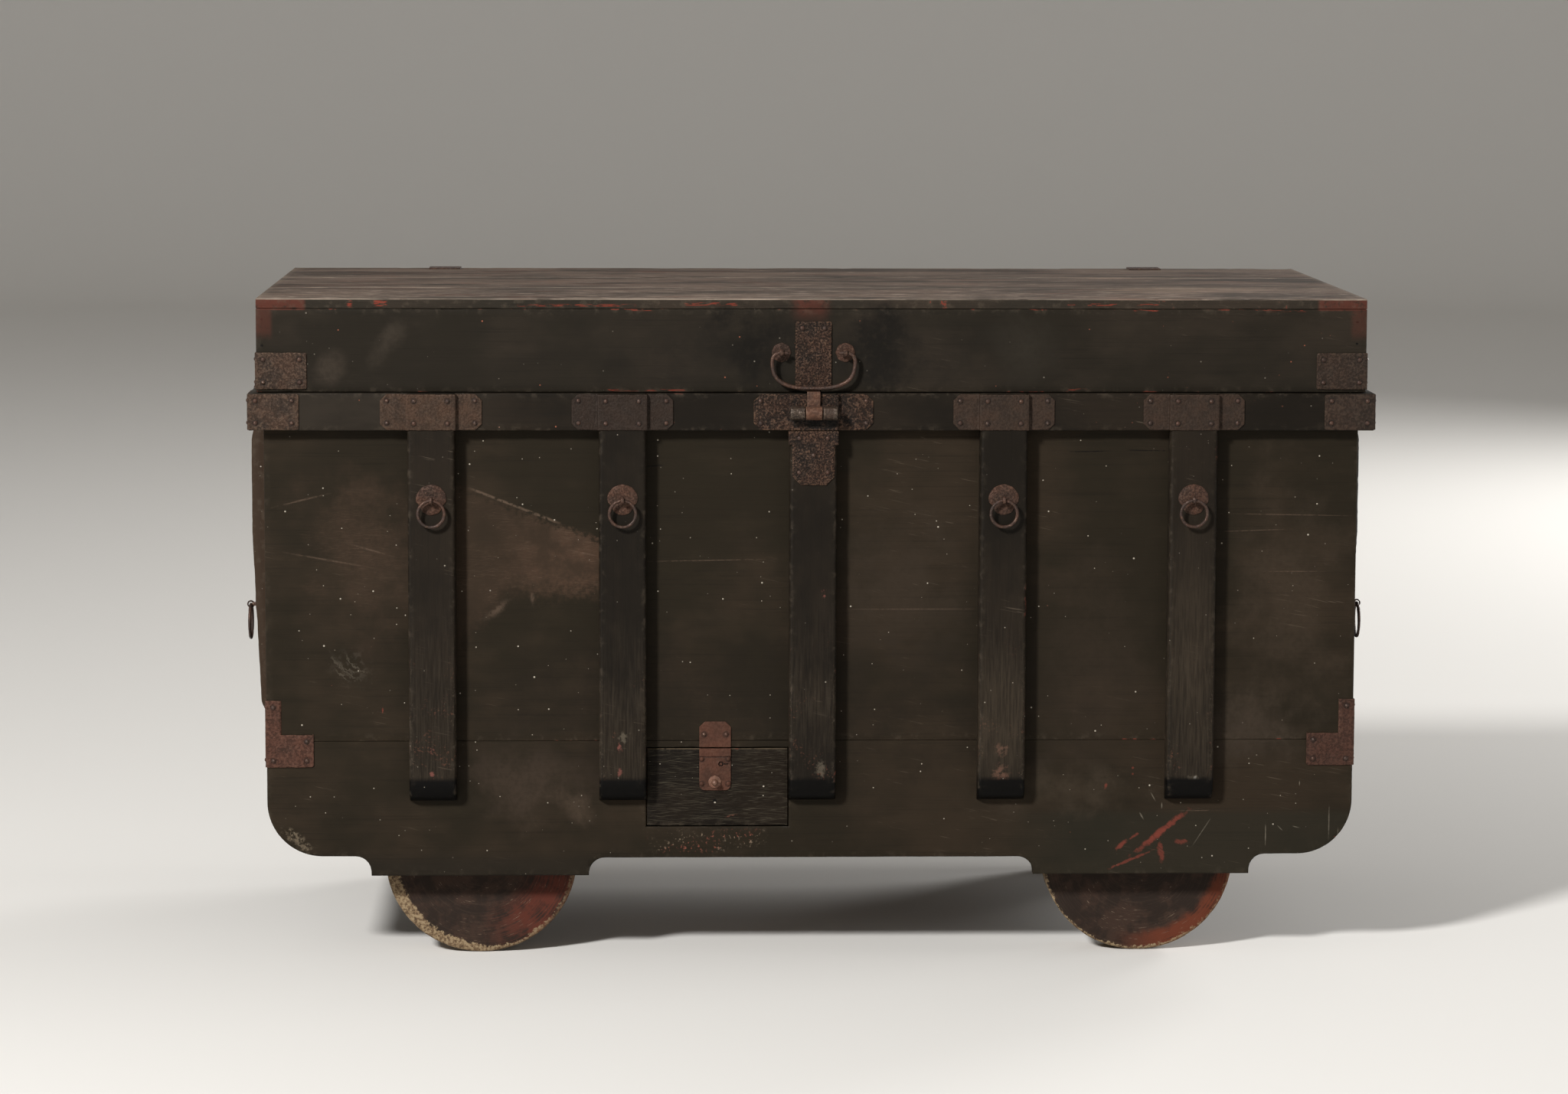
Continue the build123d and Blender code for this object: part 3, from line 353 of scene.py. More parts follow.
def lower_board(wall, opening=None, radius=1.6):
    """Sheet of boards from the shaped edge up to the joint. Height runs from the edge at share 0 to
    the joint at share 1, both faces drop by a quarter circle near every border, and the cells of the
    drawer's opening are left out."""
    fine = np.array([0.0, 0.35, 1.0, 2.2])
    # Columns are closest where the edge bends
    half = np.concatenate([
        np.arange(0, 300, 9.0), [301, 305, 309, 313, 317, 320, 322.5, 323.9, 324.1, 327],
        np.arange(333, 636, 9.0), [639, 639.9, 640.1, 641.5, 644, 648, 652, 657, 663, 670, 680, 690, 700],
        TOE_START + TOE_RADIUS * np.sin(np.linspace(0, math.pi / 2, 26)), HALF_LENGTH - fine[1:3]])
    columns = [half, -half]
    levels = [BELLY_LEVEL + fine, JOINT_LEVEL - fine, np.linspace(156, 312, 21)]
    # Points all along the border, to measure from
    dense = np.linspace(-HALF_LENGTH, HALF_LENGTH, 1600)
    toe = TOE_START + TOE_RADIUS * np.sin(np.linspace(0, 1.57, 90))
    dense = np.concatenate([dense, toe, -dense, -toe])
    side = np.stack([np.full(60, HALF_LENGTH), np.linspace(TOE_LEVEL + TOE_RADIUS, JOINT_LEVEL, 60)], -1)
    border = [np.stack([dense, lower_edge(dense)], -1), side, side * [-1, 1]]
    inside = None
    if opening:
        x0, x1, z0, z1 = opening
        columns += [x0 - fine, x1 + fine, [x0 + 3, x1 - 3]]
        levels += [z0 - fine, z1 + fine]
        around = np.linspace(0, 4, 477)
        border.append(np.stack([np.interp(around, range(5), (x0, x1, x1, x0, x0)),
                                np.interp(around, range(5), (z0, z0, z1, z1, z0))], -1))
    columns = np.unique(np.round(np.concatenate(columns), 2))
    levels = np.unique(np.round(np.concatenate(levels), 2))
    levels = levels[np.concatenate([[True], np.diff(levels) > 0.2])]
    if opening:
        mid_x, mid_z = (columns[1:] + columns[:-1]) / 2, (levels[1:] + levels[:-1]) / 2
        inside = ~(((mid_x > x0) & (mid_x < x1))[:, None] & ((mid_z > z0) & (mid_z < z1)))
    share = (levels - BELLY_LEVEL) / (JOINT_LEVEL - BELLY_LEVEL)
    foot = lower_edge(columns)[:, None]
    x, z = np.broadcast_arrays(columns[:, None], foot + share * (JOINT_LEVEL - foot))
    gap = nearest(np.stack([x, z], -1), np.concatenate(border))
    gap = np.where(gap < 1.2, np.maximum(gap - 0.2, 0), gap)
    flat = np.stack([x, 0 * x, z], -1)
    seed = 31 if wall == "front" else 47
    wear = np.exp(-gap / 5.0)
    worn = bumps(flat, 30.0, seed) + 1.2 * bumps(flat, 9.0, seed + 1, 0.4)
    drop = np.minimum(fall(gap, radius), 0.8 * radius)
    drop = drop + 0.9 * wear ** 2 * worn + 0.2 * waves(flat, 150.0, seed + 2)
    points, faces, used = slab(np.stack([x, drop, z], -1), np.stack([x, 0 * x + WALL, z], -1), inside)
    return on_wall((points, faces, np.tile(wear.ravel(), 2)[used]), wall)


# Stiles

def front_stile_depth(z):
    """How far a front or back stile stands out: a quarter circle at its foot, then flat."""
    return STILE_OUT - fall(z - STILE_LOW, STILE_OUT)


def side_stile_depth(z):
    """How far an end stile stands out: a quarter circle at its foot, then a taper outwards, a
    straight run and a short slope back at the rail."""
    levels = [END_POST_FOOT + END_POST_LOW, END_POST_BULGE, END_POST_BEND, RAIL_LOW]
    run = np.interp(z, levels, [END_POST_LOW, END_POST_OUT, END_POST_OUT, STILE_OUT])
    return np.where(z < levels[0], END_POST_LOW - fall(z - END_POST_FOOT, END_POST_LOW), run)


def stile(wall, along, depth_at, low, seed):
    """Post: at each level a closed loop of back, sides, worn chamfers and a front that stands out by
    the depth function. Vertical grooves follow a field that is fine across and long upwards."""
    nose = low + STILE_OUT * (1 - np.cos(np.linspace(0.12, math.pi / 2, 12)))
    top = [RAIL_LOW - 0.1, RAIL_LOW + 0.1, 790, 805, 820, SEAT - 1, SEAT - 0.4, SEAT]
    z = np.unique(np.concatenate([nose, np.arange(nose[-1] + 6, RAIL_LOW - 1, 6.0), top]))[:, None]
    out, back = depth_at(z), np.where(z > RAIL_LOW, LAP_BACK, 0.0)
    chamfer = np.minimum(3.0, out * 0.35)
    side = out - chamfer
    up, cut, h = np.linspace(0, 1, 4), np.array([0.3, 0.7]), STILE_HALF
    right_cut = cut[::-1]
    strips = [
        (h, -side * (1 - up) - back * up, 0.25),
        (-h, -back * (1 - up) - side * up, 0.25),
        (-h + chamfer * cut, -side - chamfer * cut ** 0.7, 1.0),
        (np.linspace(-1, 1, 31) * (h - chamfer), -out, 0.0),
        (h - chamfer * right_cut, -side - chamfer * right_cut ** 0.7, 1.0),
    ]
    x, y, mark = (np.concatenate(part, 1) for part in zip(*(np.broadcast_arrays(*strip) for strip in strips)))
    rings = np.stack([x, y, z + 0 * x], -1)
    spot = rings + np.array([along, 0, 0])
    across = np.abs(x)
    mark = np.maximum(mark, np.exp(-(h - chamfer - across).clip(0) / 3.5) * (y < -back - 1))
    groove = bumps(spot * [1, 0, 0.05], 2.6, seed) * np.clip(waves(spot, 90.0, seed + 1) * 2 - 0.5, 0, 1)
    groove = groove * np.clip((560 - z) / 240, 0, 1) * np.clip((h - across) / 4.0, 0, 1)
    chip = mark ** 2 * (bumps(spot, 16.0, seed + 2, 0.15) + 1.4 * bumps(spot, 6.0, seed + 3, 0.45))
    sink = 0.18 * groove + 0.2 * waves(spot, 120.0, seed + 4) + 1.1 * chip
    front_side = y < -back - 0.6 * (out - back)
    rings[..., 1] += np.minimum(sink * front_side, 0.4 * (out - back).clip(0))
    rings[..., 0] -= np.sign(x) * chip * 0.7 * front_side
    return on_wall(tube(rings) + (mark.ravel(),), wall, along)


# Iron plates

def bent_plate(outer, inner, levels, cut_low=None, cut_mid=None, cut_high=None, step=1.7, keep=None,
               pits=0.42, seed=5, relief=None, ragged=0.5, nails=()):
    """Plate along two matching plan lines, its outer and its inner face. Each level between the three
    given heights is moved so that the ends follow the cut functions of the distance from the nearer
    end. The outer face is pitted by two random fields and drops by a quarter circle at its border."""
    outer, inner = np.array(outer, float), np.array(inner, float)
    runs = np.linalg.norm(np.diff(outer, axis=0), axis=1)
    counts = np.maximum(1, np.round(runs / step).astype(int))
    # Places along the plan lines, with two more close to each end
    tips = np.array([0.3, 0.8])
    share = [np.linspace(k, k + 1, count + 1) for k, count in enumerate(counts)]
    share = np.unique(np.concatenate(share + [tips / runs[0], len(runs) - tips / runs[-1]]))
    knots = np.arange(len(outer))
    p, q = (np.stack([np.interp(share, knots, line[:, k]) for k in (0, 1)], -1) for line in (outer, inner))
    length = np.interp(share, knots, np.concatenate([[0], np.cumsum(runs)]))
    soft = p.copy()
    soft[1:-1] = (p[:-2] + 2 * p[1:-1] + p[2:]) / 4
    thick = np.linalg.norm(p - q, axis=1)
    p = np.where((thick - thick.min() > 0.2)[:, None], soft, p)
    # Levels, moved at the ends by the cuts
    reach = np.minimum(length, runs.sum() - length)
    low_cut, mid_cut, high_cut = (cut(reach) if cut else 0 * reach for cut in (cut_low, cut_mid, cut_high))
    low, mid, high = levels
    lower, upper = (spaced(0, run, step, (0.0, 0.3, 0.8)) / run for run in (mid - low, high - mid))
    low, bend, high = low + low_cut[:, None], mid - mid_cut[:, None], high - high_cut[:, None]
    z = np.concatenate([low + lower * (bend - low), mid + upper[1:] * (high - mid)], 1)
    m = z.shape[1]
    face, back = (np.dstack([np.repeat(line[:, None], m, 1), z]) for line in (p, q))
    spots = np.dstack([np.repeat(length[:, None], m, 1), z])
    mask = np.ones((len(z) - 1, m - 1), bool)
    if keep is not None:
        mask = keep((length[1:] + length[:-1])[:, None] / 2, (z[1:, 1:] + z[:-1, :-1]) / 2, runs.sum())
    # Distance from the border: points that touch both kept cells and left out ones
    known = np.pad(mask, 1)
    known = np.stack([known[1:, 1:], known[:-1, 1:], known[1:, :-1], known[:-1, :-1]])
    gap = nearest(spots, spots[~known.all(0) & known.any(0)])
    toward = face - back
    thick = np.linalg.norm(toward, axis=2, keepdims=True)
    toward = toward / thick
    # Rust, a softened border and a ragged rim
    rust = 0.5 * bumps(face, 3.4, seed, -0.15) + 0.7 * bumps(face, 8.0, seed + 1)
    depth = fall(gap, 0.9) + pits * rust + 0.16 * waves(face, 1.9, seed + 2)
    shift = ragged * bumps(face, 6.0, seed + 3, -0.3) * np.exp(-gap / 1.2)
    raised = 0.0 if relief is None else relief(face)[..., None]
    face = face + toward * (raised - np.minimum(depth[..., None], 0.75 * thick))
    for grid in (face, back):
        grid[..., 2] += np.sign(spots[known.all(0)][:, 1].mean() - z) * shift
    points, faces, used = slab(face, back, mask)
    rings = np.exp(-((nearest(face, np.array(nails, float)) - 3.6) / 1.3) ** 2)
    return [points, faces] + [np.tile(mark.ravel(), 2)[used] for mark in (np.exp(-gap / 2.5), rings)]


def clipped(size):
    """Straight cut across a corner: what is taken off falls evenly to nothing at the given distance."""
    return lambda reach: np.clip(size - reach, 0, None)


def rounded(size):
    """Quarter circle at a corner."""
    return lambda reach: fall(reach, size)


def flat_plate(x0, x1, levels, y=0.0, thickness=PLATE, **more):
    """Flat plate facing -Y."""
    return bent_plate([(x0, y - thickness), (x1, y - thickness)], [(x0, y), (x1, y)], levels, **more)


def stile_cap(wing, seed, cut):
    """Strap plate that steps over a stile's lap, with a wing on the rail at each side."""
    h, end, rail, post = STILE_HALF, STILE_HALF + wing, -RAIL_OUT, -STILE_OUT
    inner = [(-end, rail), (-h, rail), (-h, post), (h, post), (h, rail), (end, rail)]
    outer = [(x + (PLATE if abs(x) == h else 0) * np.sign(x), y - PLATE) for x, y in inner]
    rows = ((h - NAIL_INSET, post - PLATE), (end - NAIL_INSET, rail - PLATE))
    nails = [(side * x, y, z) for side in (-1, 1) for z in (785, 817) for x, y in rows]
    return bent_plate(outer, inner, (775, 801, 827), cut, None, cut, seed=seed, nails=nails)


def corner_plate(reach, levels, spots, x, y, **more):
    """Plate bent round the corner of walls x and y from the middle, its nails at the given spots."""
    inner = [(0, reach), (0, 0), (reach, 0)]
    outer = [(-PLATE, reach), (-PLATE, -PLATE), (reach, -PLATE)]
    nails = [(a, -PLATE, b) for a, b in spots] + [(-PLATE, a, b) for a, b in spots]
    return moved(bent_plate(outer, inner, levels, nails=nails, **more), -x, MIDDLE_Y - y, 0)


def square_corner_plate(proud, low, high, seed, reach=72):
    """Corner plate with square ends and four nails on each arm."""
    spots = [(x, z) for x in (NAIL_INSET, reach - NAIL_INSET) for z in (low + NAIL_INSET, high - NAIL_INSET)]
    return corner_plate(reach, (low, (low + high) / 2, high), spots, HALF_LENGTH + proud, HALF_DEPTH + proud,
                        cut_low=clipped(2), cut_high=clipped(2), seed=seed)


def corner_bracket(seed):
    """L-shaped plate bent round a corner: a tall narrow arm and a long low foot."""
    spots = [(10, 292), (58, 292), (58, 320), (10, 370)]
    return corner_plate(68, (282, 330, 380), spots, HALF_LENGTH, HALF_DEPTH, cut_low=rounded(4), cut_mid=rounded(5),
                        keep=lambda s, z, total: (z < 330) | (np.abs(s - total / 2) < 22), pits=0.35, seed=seed,
                        ragged=0.6)


# Round iron

def barrel(x0, x1, centre_y, centre_z, radius, bore, seed, dent=0.35):
    """Rolled knuckle: a rounded rectangular section between bore and radius, carried round the X axis,
    with a low seam and shallow dents."""
    loop, weight = rounded_loop([(x0, bore), (x1, bore), (x1, radius), (x0, radius)], 0.8, 1.6)
    angle = once_round(48)[:, None]
    x, r, weight, _ = np.broadcast_arrays(loop[:, 0], loop[:, 1], weight, angle)
    place = np.stack([x, centre_y + r * np.cos(angle), centre_z + r * np.sin(angle)], -1)
    sink = dent * bumps(place, 3.0, seed, -0.3) + 0.4 * np.exp(-((angle - 2.6) / 0.07) ** 2)
    r = r - sink * (r > (radius + bore) / 2)
    rings = np.stack([x, centre_y + r * np.cos(angle), centre_z + r * np.sin(angle)], -1)
    return tube(rings, closed=True) + (weight.ravel(),)


def bent_rod(path, radius, seed, sides=16, dent=0.15):
    """Forged round bar: circles carried along a line, set square to it by a fixed up direction, the
    radius given at each point; both ends close in a quarter circle."""
    step = np.gradient(path, axis=0)
    step /= np.linalg.norm(step, axis=1)[:, None]
    side = np.cross(step, [0.0, 1.0, 0.0])
    side /= np.linalg.norm(side, axis=1)[:, None]
    up = np.cross(side, step)
    angle = once_round(sides)[:, None]
    spokes = np.cos(angle) * side[:, None] + np.sin(angle) * up[:, None]
    rough = path[:, None] + radius[:, None, None] * spokes
    wide = radius[:, None] - dent * bumps(rough, 3.5, seed, -0.2)
    rings = path[:, None] + wide[..., None] * spokes
    nose = step * wide.mean(axis=1)[:, None] * 0.6

    def end(k, way, shares):
        """Rings that close an end: the last ring drawn in by the root of 1 - t^2 and moved on by t."""
        return [path[k] + (rings[k] - path[k]) * math.sqrt(1 - t * t) + way * nose[k] * t for t in shares]

    rings = np.concatenate([end(0, -1, (0.93, 0.7, 0.35)), rings, end(-1, 1, (0.35, 0.7, 0.93))])
    return poled(rings, path[0] - nose[0], path[-1] + nose[-1])


def turned(profile, lobes, depth, steps, outline=None):
    """Turned shape about Y: radius and distance along -Y from the profile, a pole at each end. The
    radius is scaled by a wave with the given number of lobes, or by an outline function of the angle."""
    profile = np.array(profile, float)
    angle = once_round(steps)
    scale = outline(angle) if outline else 1 - depth * (1 - np.cos(lobes * angle)) / 2
    r = profile[1:-1, :1] * scale
    rings = np.stack([r * np.sin(angle), 0 * r - profile[1:-1, 1:], r * np.cos(angle)], -1)
    return poled(rings, np.array([0, -profile[0, 1], 0]), np.array([0, -profile[-1, 1], 0]))


def hoop(major, minor, normal_axis, centre, seed, flat=1.0, turns=72, sides=14, dent=0.3):
    """Forged ring: a circle carried round a circle, its thickness wandering slowly. The plane's normal
    is the given axis; flat widens the section along that axis."""
    a, b = np.broadcast_arrays(once_round(turns)[:, None], once_round(sides))
    local = np.stack([np.cos(a) * major, np.sin(a) * major, 0 * a], -1)
    thick = minor * (0.94 + 0.06 * np.sin(2 * a + seed)) - dent * bumps(local + seed, 4.0, seed)
    r = major + thick * np.cos(b)
    u, v, w = r * np.cos(a), r * np.sin(a), flat * thick * np.sin(b)
    order = {0: (w, u, v), 1: (v, w, u)}[normal_axis]
    return tube(np.stack(order, -1) + np.array(centre, float), closed=True)


def block(low, high, radius=0.8, seed=3):
    """Small bar with rounded arrises along its longest side."""
    axis = int(np.argmax(np.subtract(high, low)))
    return board(low, high, axis, 2.5, 2.5, radius, chips=0.3, hollow=0.2, seed=seed)


# Finishes

class Finish:
    """A node material being put together. Each method adds nodes and returns an output; lay and the
    methods that use it paint over the colour so far. Places are in metres unless they say otherwise."""

    def __init__(self, name):
        """New material with its shader, and the place and its three parts."""
        self.material = bpy.data.materials.new(name)
        self.material.use_nodes = True
        self.tree = self.material.node_tree
        self.shader = self.tree.nodes["Principled BSDF"]
        self.place = self.add("ShaderNodeTexCoord").outputs["Object"]
        self.x, self.y, self.z = self.split(self.place)

    def add(self, kind, **values):
        """New node with its settings."""
        node = self.tree.nodes.new(kind)
        for key, value in values.items():
            setattr(node, key, value)
        return node

    def join(self, value, socket):
        """Links an output to a socket, or sets the socket to a plain value."""
        if isinstance(value, bpy.types.NodeSocket):
            self.tree.links.new(value, socket)
        else:
            socket.default_value = value

    def split(self, vector):
        """X, Y and Z of a vector."""
        node = self.add("ShaderNodeSeparateXYZ")
        self.join(vector, node.inputs[0])
        return node.outputs

    def sum(self, kind, *values):
        """Result of a sum of the given kind."""
        node = self.add("ShaderNodeMath", operation=kind)
        for socket, value in zip(node.inputs, values):
            self.join(value, socket)
        return node.outputs[0]

    def times(self, *values, kind="MULTIPLY"):
        """Product of all the values."""
        result = values[0]
        for value in values[1:]:
            result = self.sum(kind, result, value)
        return result

    def plus(self, *values):
        """Total of all the values."""
        return self.times(*values, kind="ADD")

    def stretched(self, kind, place, scale, shift, **settings):
        """Texture node of the given kind on stretched and shifted coordinates."""
        stretch = self.add("ShaderNodeVectorMath", operation="MULTIPLY_ADD")
        for value, socket in zip((place, scale, shift), stretch.inputs):
            self.join(value, socket)
        node = self.add(kind, **settings)
        self.join(stretch.outputs[0], node.inputs["Vector"])
        node.inputs["Scale"].default_value = 1.0
        return node

    def noise(self, size, detail=3.0, rough=0.55, seed=0.0, turn=0.0, place=None, bend=0.0):
        """Noise from 0 to 1 whose grain is size metres along X, Y and Z, turned about Y."""
        size = (size,) * 3 if isinstance(size, (int, float)) else size
        place = place or self.place
        if turn:
            mapping = self.add("ShaderNodeMapping", vector_type="POINT")
            self.join(place, mapping.inputs["Vector"])
            mapping.inputs["Rotation"].default_value = (0, math.radians(turn), 0)
            place = mapping.outputs[0]
        node = self.stretched("ShaderNodeTexNoise", place, tuple(1 / s for s in size),
                              (seed * 3.7, seed * 5.3, seed * 4.1))
        for name, value in (("Detail", detail), ("Roughness", rough), ("Distortion", bend)):
            node.inputs[name].default_value = value
        return node.outputs[0]

    def fade(self, value, start, end, low=0.0, high=1.0):
        """Smooth step of value from start to end."""
        node = self.add("ShaderNodeMapRange", interpolation_type="SMOOTHSTEP", clamp=True)
        for socket, given in zip(node.inputs, (value, start, end, low, high)):
            self.join(given, socket)
        return node.outputs[0]

    def blend(self, share, a, b):
        """Mix of two colours, each an output or a screen colour."""
        node = self.add("ShaderNodeMix", data_type="RGBA", clamp_factor=True)
        self.join(share, node.inputs[0])
        for value, socket in ((a, node.inputs[6]), (b, node.inputs[7])):
            self.join(value if isinstance(value, bpy.types.NodeSocket) else tint(value), socket)
        return node.outputs[2]

    def lay(self, tone, *shares):
        """Paints a tone over the colour so far, by the product of the shares."""
        self.colour = self.blend(self.times(*shares), self.colour, tone)

    def span(self, axis, low, high, soft=0.002):
        """One between two places along an axis, with soft borders."""
        value = getattr(self, axis)
        return self.times(self.fade(value, low - soft, low + soft), self.fade(value, high + soft, high - soft))

    def spot(self, x, z, wide, high, turn, border, ragged=0.5, soft=0.5):
        """Patch seen from the front, in millimetres: an ellipse in X and Z whose border is moved by a
        noise."""
        x, z, wide, high = x * MM, z * MM, wide * MM, high * MM
        c, s = math.cos(math.radians(turn)), math.sin(math.radians(turn))
        along = self.sum("MULTIPLY_ADD", self.x, c / wide, -(x * c + z * s) / wide)
        along = self.sum("MULTIPLY_ADD", self.z, s / wide, along)
        over = self.sum("MULTIPLY_ADD", self.x, -s / high, (x * s - z * c) / high)
        over = self.sum("MULTIPLY_ADD", self.z, c / high, over)
        away = self.sum("SQRT", self.sum("MULTIPLY_ADD", along, along, self.times(over, over)))
        shifted = self.sum("MULTIPLY_ADD", border, 4 * ragged, -2 * ragged)
        return self.fade(self.plus(away, shifted), 1 + soft / 2, 1 - soft)

    def lay_spots(self, rows, border, ragged, soft, *shares, tone=None):
        """Lays a spot for each row: place, half sizes, turn, and its own share and tone where given."""
        for x, z, wide, high, turn, *own in rows:
            own_tone = own.pop() if own and isinstance(own[-1], tuple) else tone
            self.lay(own_tone, self.spot(x, z, wide, high, turn, border, ragged, soft), *shares, *own)

    def arc(self, x, z, radius, thin, ragged):
        """Thin ring on the front, its radius wandering with a ragged field."""
        aside, over = self.sum("SUBTRACT", self.x, x), self.sum("SUBTRACT", self.z, z)
        away = self.sum("POWER", self.plus(self.times(aside, aside), self.times(over, over)), 0.5)
        away = self.plus(away, self.times(ragged, 0.02))
        return self.fade(self.sum("ABSOLUTE", self.sum("SUBTRACT", away, radius + 0.01)), thin, thin * 0.3)

    def marks(self, turn, seed, long=0.05, thin=0.0018, start=0.66, bend=0.6):
        """Thin scratches that wander a little, turned about Y."""
        lines = self.noise((long, thin * 3, thin), 1.5, 0.5, seed, turn, bend=bend)
        return self.fade(lines, start, start + 0.07)

    def mark(self, name, output="Fac"):
        """Attribute of the mesh."""
        return self.add("ShaderNodeAttribute", attribute_name=name).outputs[output]

    def finished(self, roughness, height, depth=0.0005, strength=0.5, sheen=0.5, metal=0.0):
        """Joins the colour, roughness and relief to the shader and returns the material."""
        self.join(self.colour, self.shader.inputs["Base Color"])
        self.join(roughness, self.shader.inputs["Roughness"])
        self.shader.inputs["Specular IOR Level"].default_value = sheen
        self.shader.inputs["Metallic"].default_value = metal
        bump = self.add("ShaderNodeBump")
        for name, value in (("Strength", strength), ("Distance", depth), ("Height", height)):
            self.join(value, bump.inputs[name])
        self.join(bump.outputs[0], self.shader.inputs["Normal"])
        return self.material


def tint(colour):
    """Screen colour, 0 to 255, as a linear one."""
    share = [c / 255 for c in colour]
    return tuple(s / 12.92 if s <= 0.04045 else ((s + 0.055) / 1.055) ** 2.4 for s in share) + (1.0,)


def toned(colour, by, plus=0.0):
    """Screen colour made darker or lighter."""
    return tuple(c * by + plus for c in colour)


def lengthwise(axis, along, across):
    """Grain size with the long way on the given axis."""
    return tuple(along if axis == name else across for name in "xyz")


def lay_specks(f, seed, size=0.0115, chosen=0.46):
    """Pale and pinkish chips of several sizes scattered over a surface: one in each chosen cell."""
    node = f.stretched("ShaderNodeTexVoronoi", f.place, (1 / size,) * 3, (seed,) * 3, feature="F1")
    pick, shade, grow = f.split(node.outputs["Color"])
    wide = f.sum("MULTIPLY_ADD", f.times(grow, grow, grow), 0.10, 0.046)
    dot = f.times(f.fade(node.outputs["Distance"], wide, f.times(wide, 0.5)), f.fade(pick, chosen, chosen + 0.05))
    chip = f.blend(f.fade(shade, 0.88, 0.91), (166, 157, 142), (138, 82, 62))
    f.lay(chip, dot, f.fade(shade, 0.0, 0.7, 0.35, 1.0), 0.9)


def lay_red_arris(f, seed, start=1.05, tone=(94, 45, 35)):
    """Red under-lacquer showing in short strokes along worn arrises, and a faint pale rub between."""
    edge = f.mark("arris")
    ragged = f.noise(0.012, 4, 0.65, seed + 11)
    slow = f.noise(0.08, 2, 0.5, seed + 12)
    bite = f.plus(f.times(edge, 0.6), f.times(ragged, 0.42), f.times(slow, 0.35))
    f.lay((76, 67, 56), edge, f.fade(ragged, 0.5, 0.68), 0.3)
    f.lay(tone, f.fade(bite, start, start + 0.035), 0.8)
    f.lay((123, 102, 82), f.fade(bite, start + 0.07, start + 0.1))


def aged_lacquer(f, axis, dark, brown, seed):
    """Dark lacquer with a brown haze, faint lines along the grain, pale scuffs and scratches. Returns
    the fields it is made of."""
    cloud = f.noise(0.26, 4, 0.6, seed)
    smear = f.noise(lengthwise(axis, 0.12, 0.035), 5, 0.66, seed + 1)
    lines = f.noise(lengthwise(axis, 0.2, 0.0022), 3, 0.6, seed + 2)
    f.colour = dark
    f.lay(brown, f.fade(f.plus(f.times(cloud, 0.75), f.times(smear, 0.25)), 0.42, 0.62))
    f.lay(toned(dark, 0.62), f.fade(lines, 0.5, 0.72), 0.35)
    f.lay(toned(dark, 1.4, 6), f.fade(smear, 0.5, 0.74), f.fade(lines, 0.38, 0.62), 0.22)
    f.lay((94, 83, 70), f.marks(-12, seed + 4), f.fade(cloud, 0.5, 0.6), f.fade(smear, 0.46, 0.58), 0.35)
    return cloud, smear, lines


def make_lacquer(name, axis, lay_marks=None, dark=(31, 26, 18), brown=(41, 33, 24), seed=3.0):
    """Lacquered board: aged lacquer, marks of its own, specks and red arrises."""
    f = Finish(name)
    cloud, smear, lines = aged_lacquer(f, axis, dark, brown, seed)
    if lay_marks:
        lay_marks(f, f.fade(f.y, -0.366, -0.369))
    lay_specks(f, seed)
    lay_red_arris(f, seed)
    height = f.plus(f.times(lines, -0.5), f.times(smear, 0.6))
    return f.finished(f.fade(cloud, 0.35, 0.65, 0.5, 0.66), height, sheen=0.07)


def lay_rubbed_field(f, front, border, torn, wisps):
    """Rubbed patch between the two left posts: below one slanting line and above another that drops
    away to the left, with pale wisps in it and a pale rim along the upper line."""
    top = f.sum("MULTIPLY_ADD", f.x, -0.393, 0.495)
    low = f.sum("MINIMUM", f.sum("MULTIPLY_ADD", f.x, 1.04, 0.988), 0.533)
    shifted = f.sum("MULTIPLY_ADD", torn, 0.05, -0.025)
    below = f.sum("SUBTRACT", top, f.z)
    under = f.fade(f.plus(below, shifted), -0.002, 0.014)
    over = f.fade(f.plus(f.sum("SUBTRACT", f.z, low), shifted), -0.014, 0.034)
    field = f.times(under, over, f.span("x", -0.515, -0.306, 0.006))
    rise = f.fade(f.plus(f.x, f.times(f.z, -0.5)), -0.80, -0.64, 0.35, 0.95)
    f.lay((56, 43, 33), front, field, rise, f.fade(border, 0.3, 0.56, 0.55, 1.0))
    f.lay((67, 49, 37), front, field, f.fade(f.x, -0.46, -0.34), f.fade(f.z, 0.65, 0.59), f.fade(border, 0.4, 0.56),
          f.fade(torn, 0.35, 0.6, 0.5, 1.0), 0.6)
    beside = f.times(f.spot(-640, 600, 100, 80, 0, border, 0.6, 0.8), 0.4)
    f.lay((92, 75, 61), front, f.plus(f.times(field, rise, f.fade(border, 0.42, 0.54)), beside), wisps, 0.3)
    f.lay((100, 83, 69), front, f.fade(below, -0.0025, 0.0), f.fade(below, 0.0035, 0.001),
          f.span("x", -0.49, -0.37, 0.01), f.fade(torn, 0.36, 0.5), 0.45)


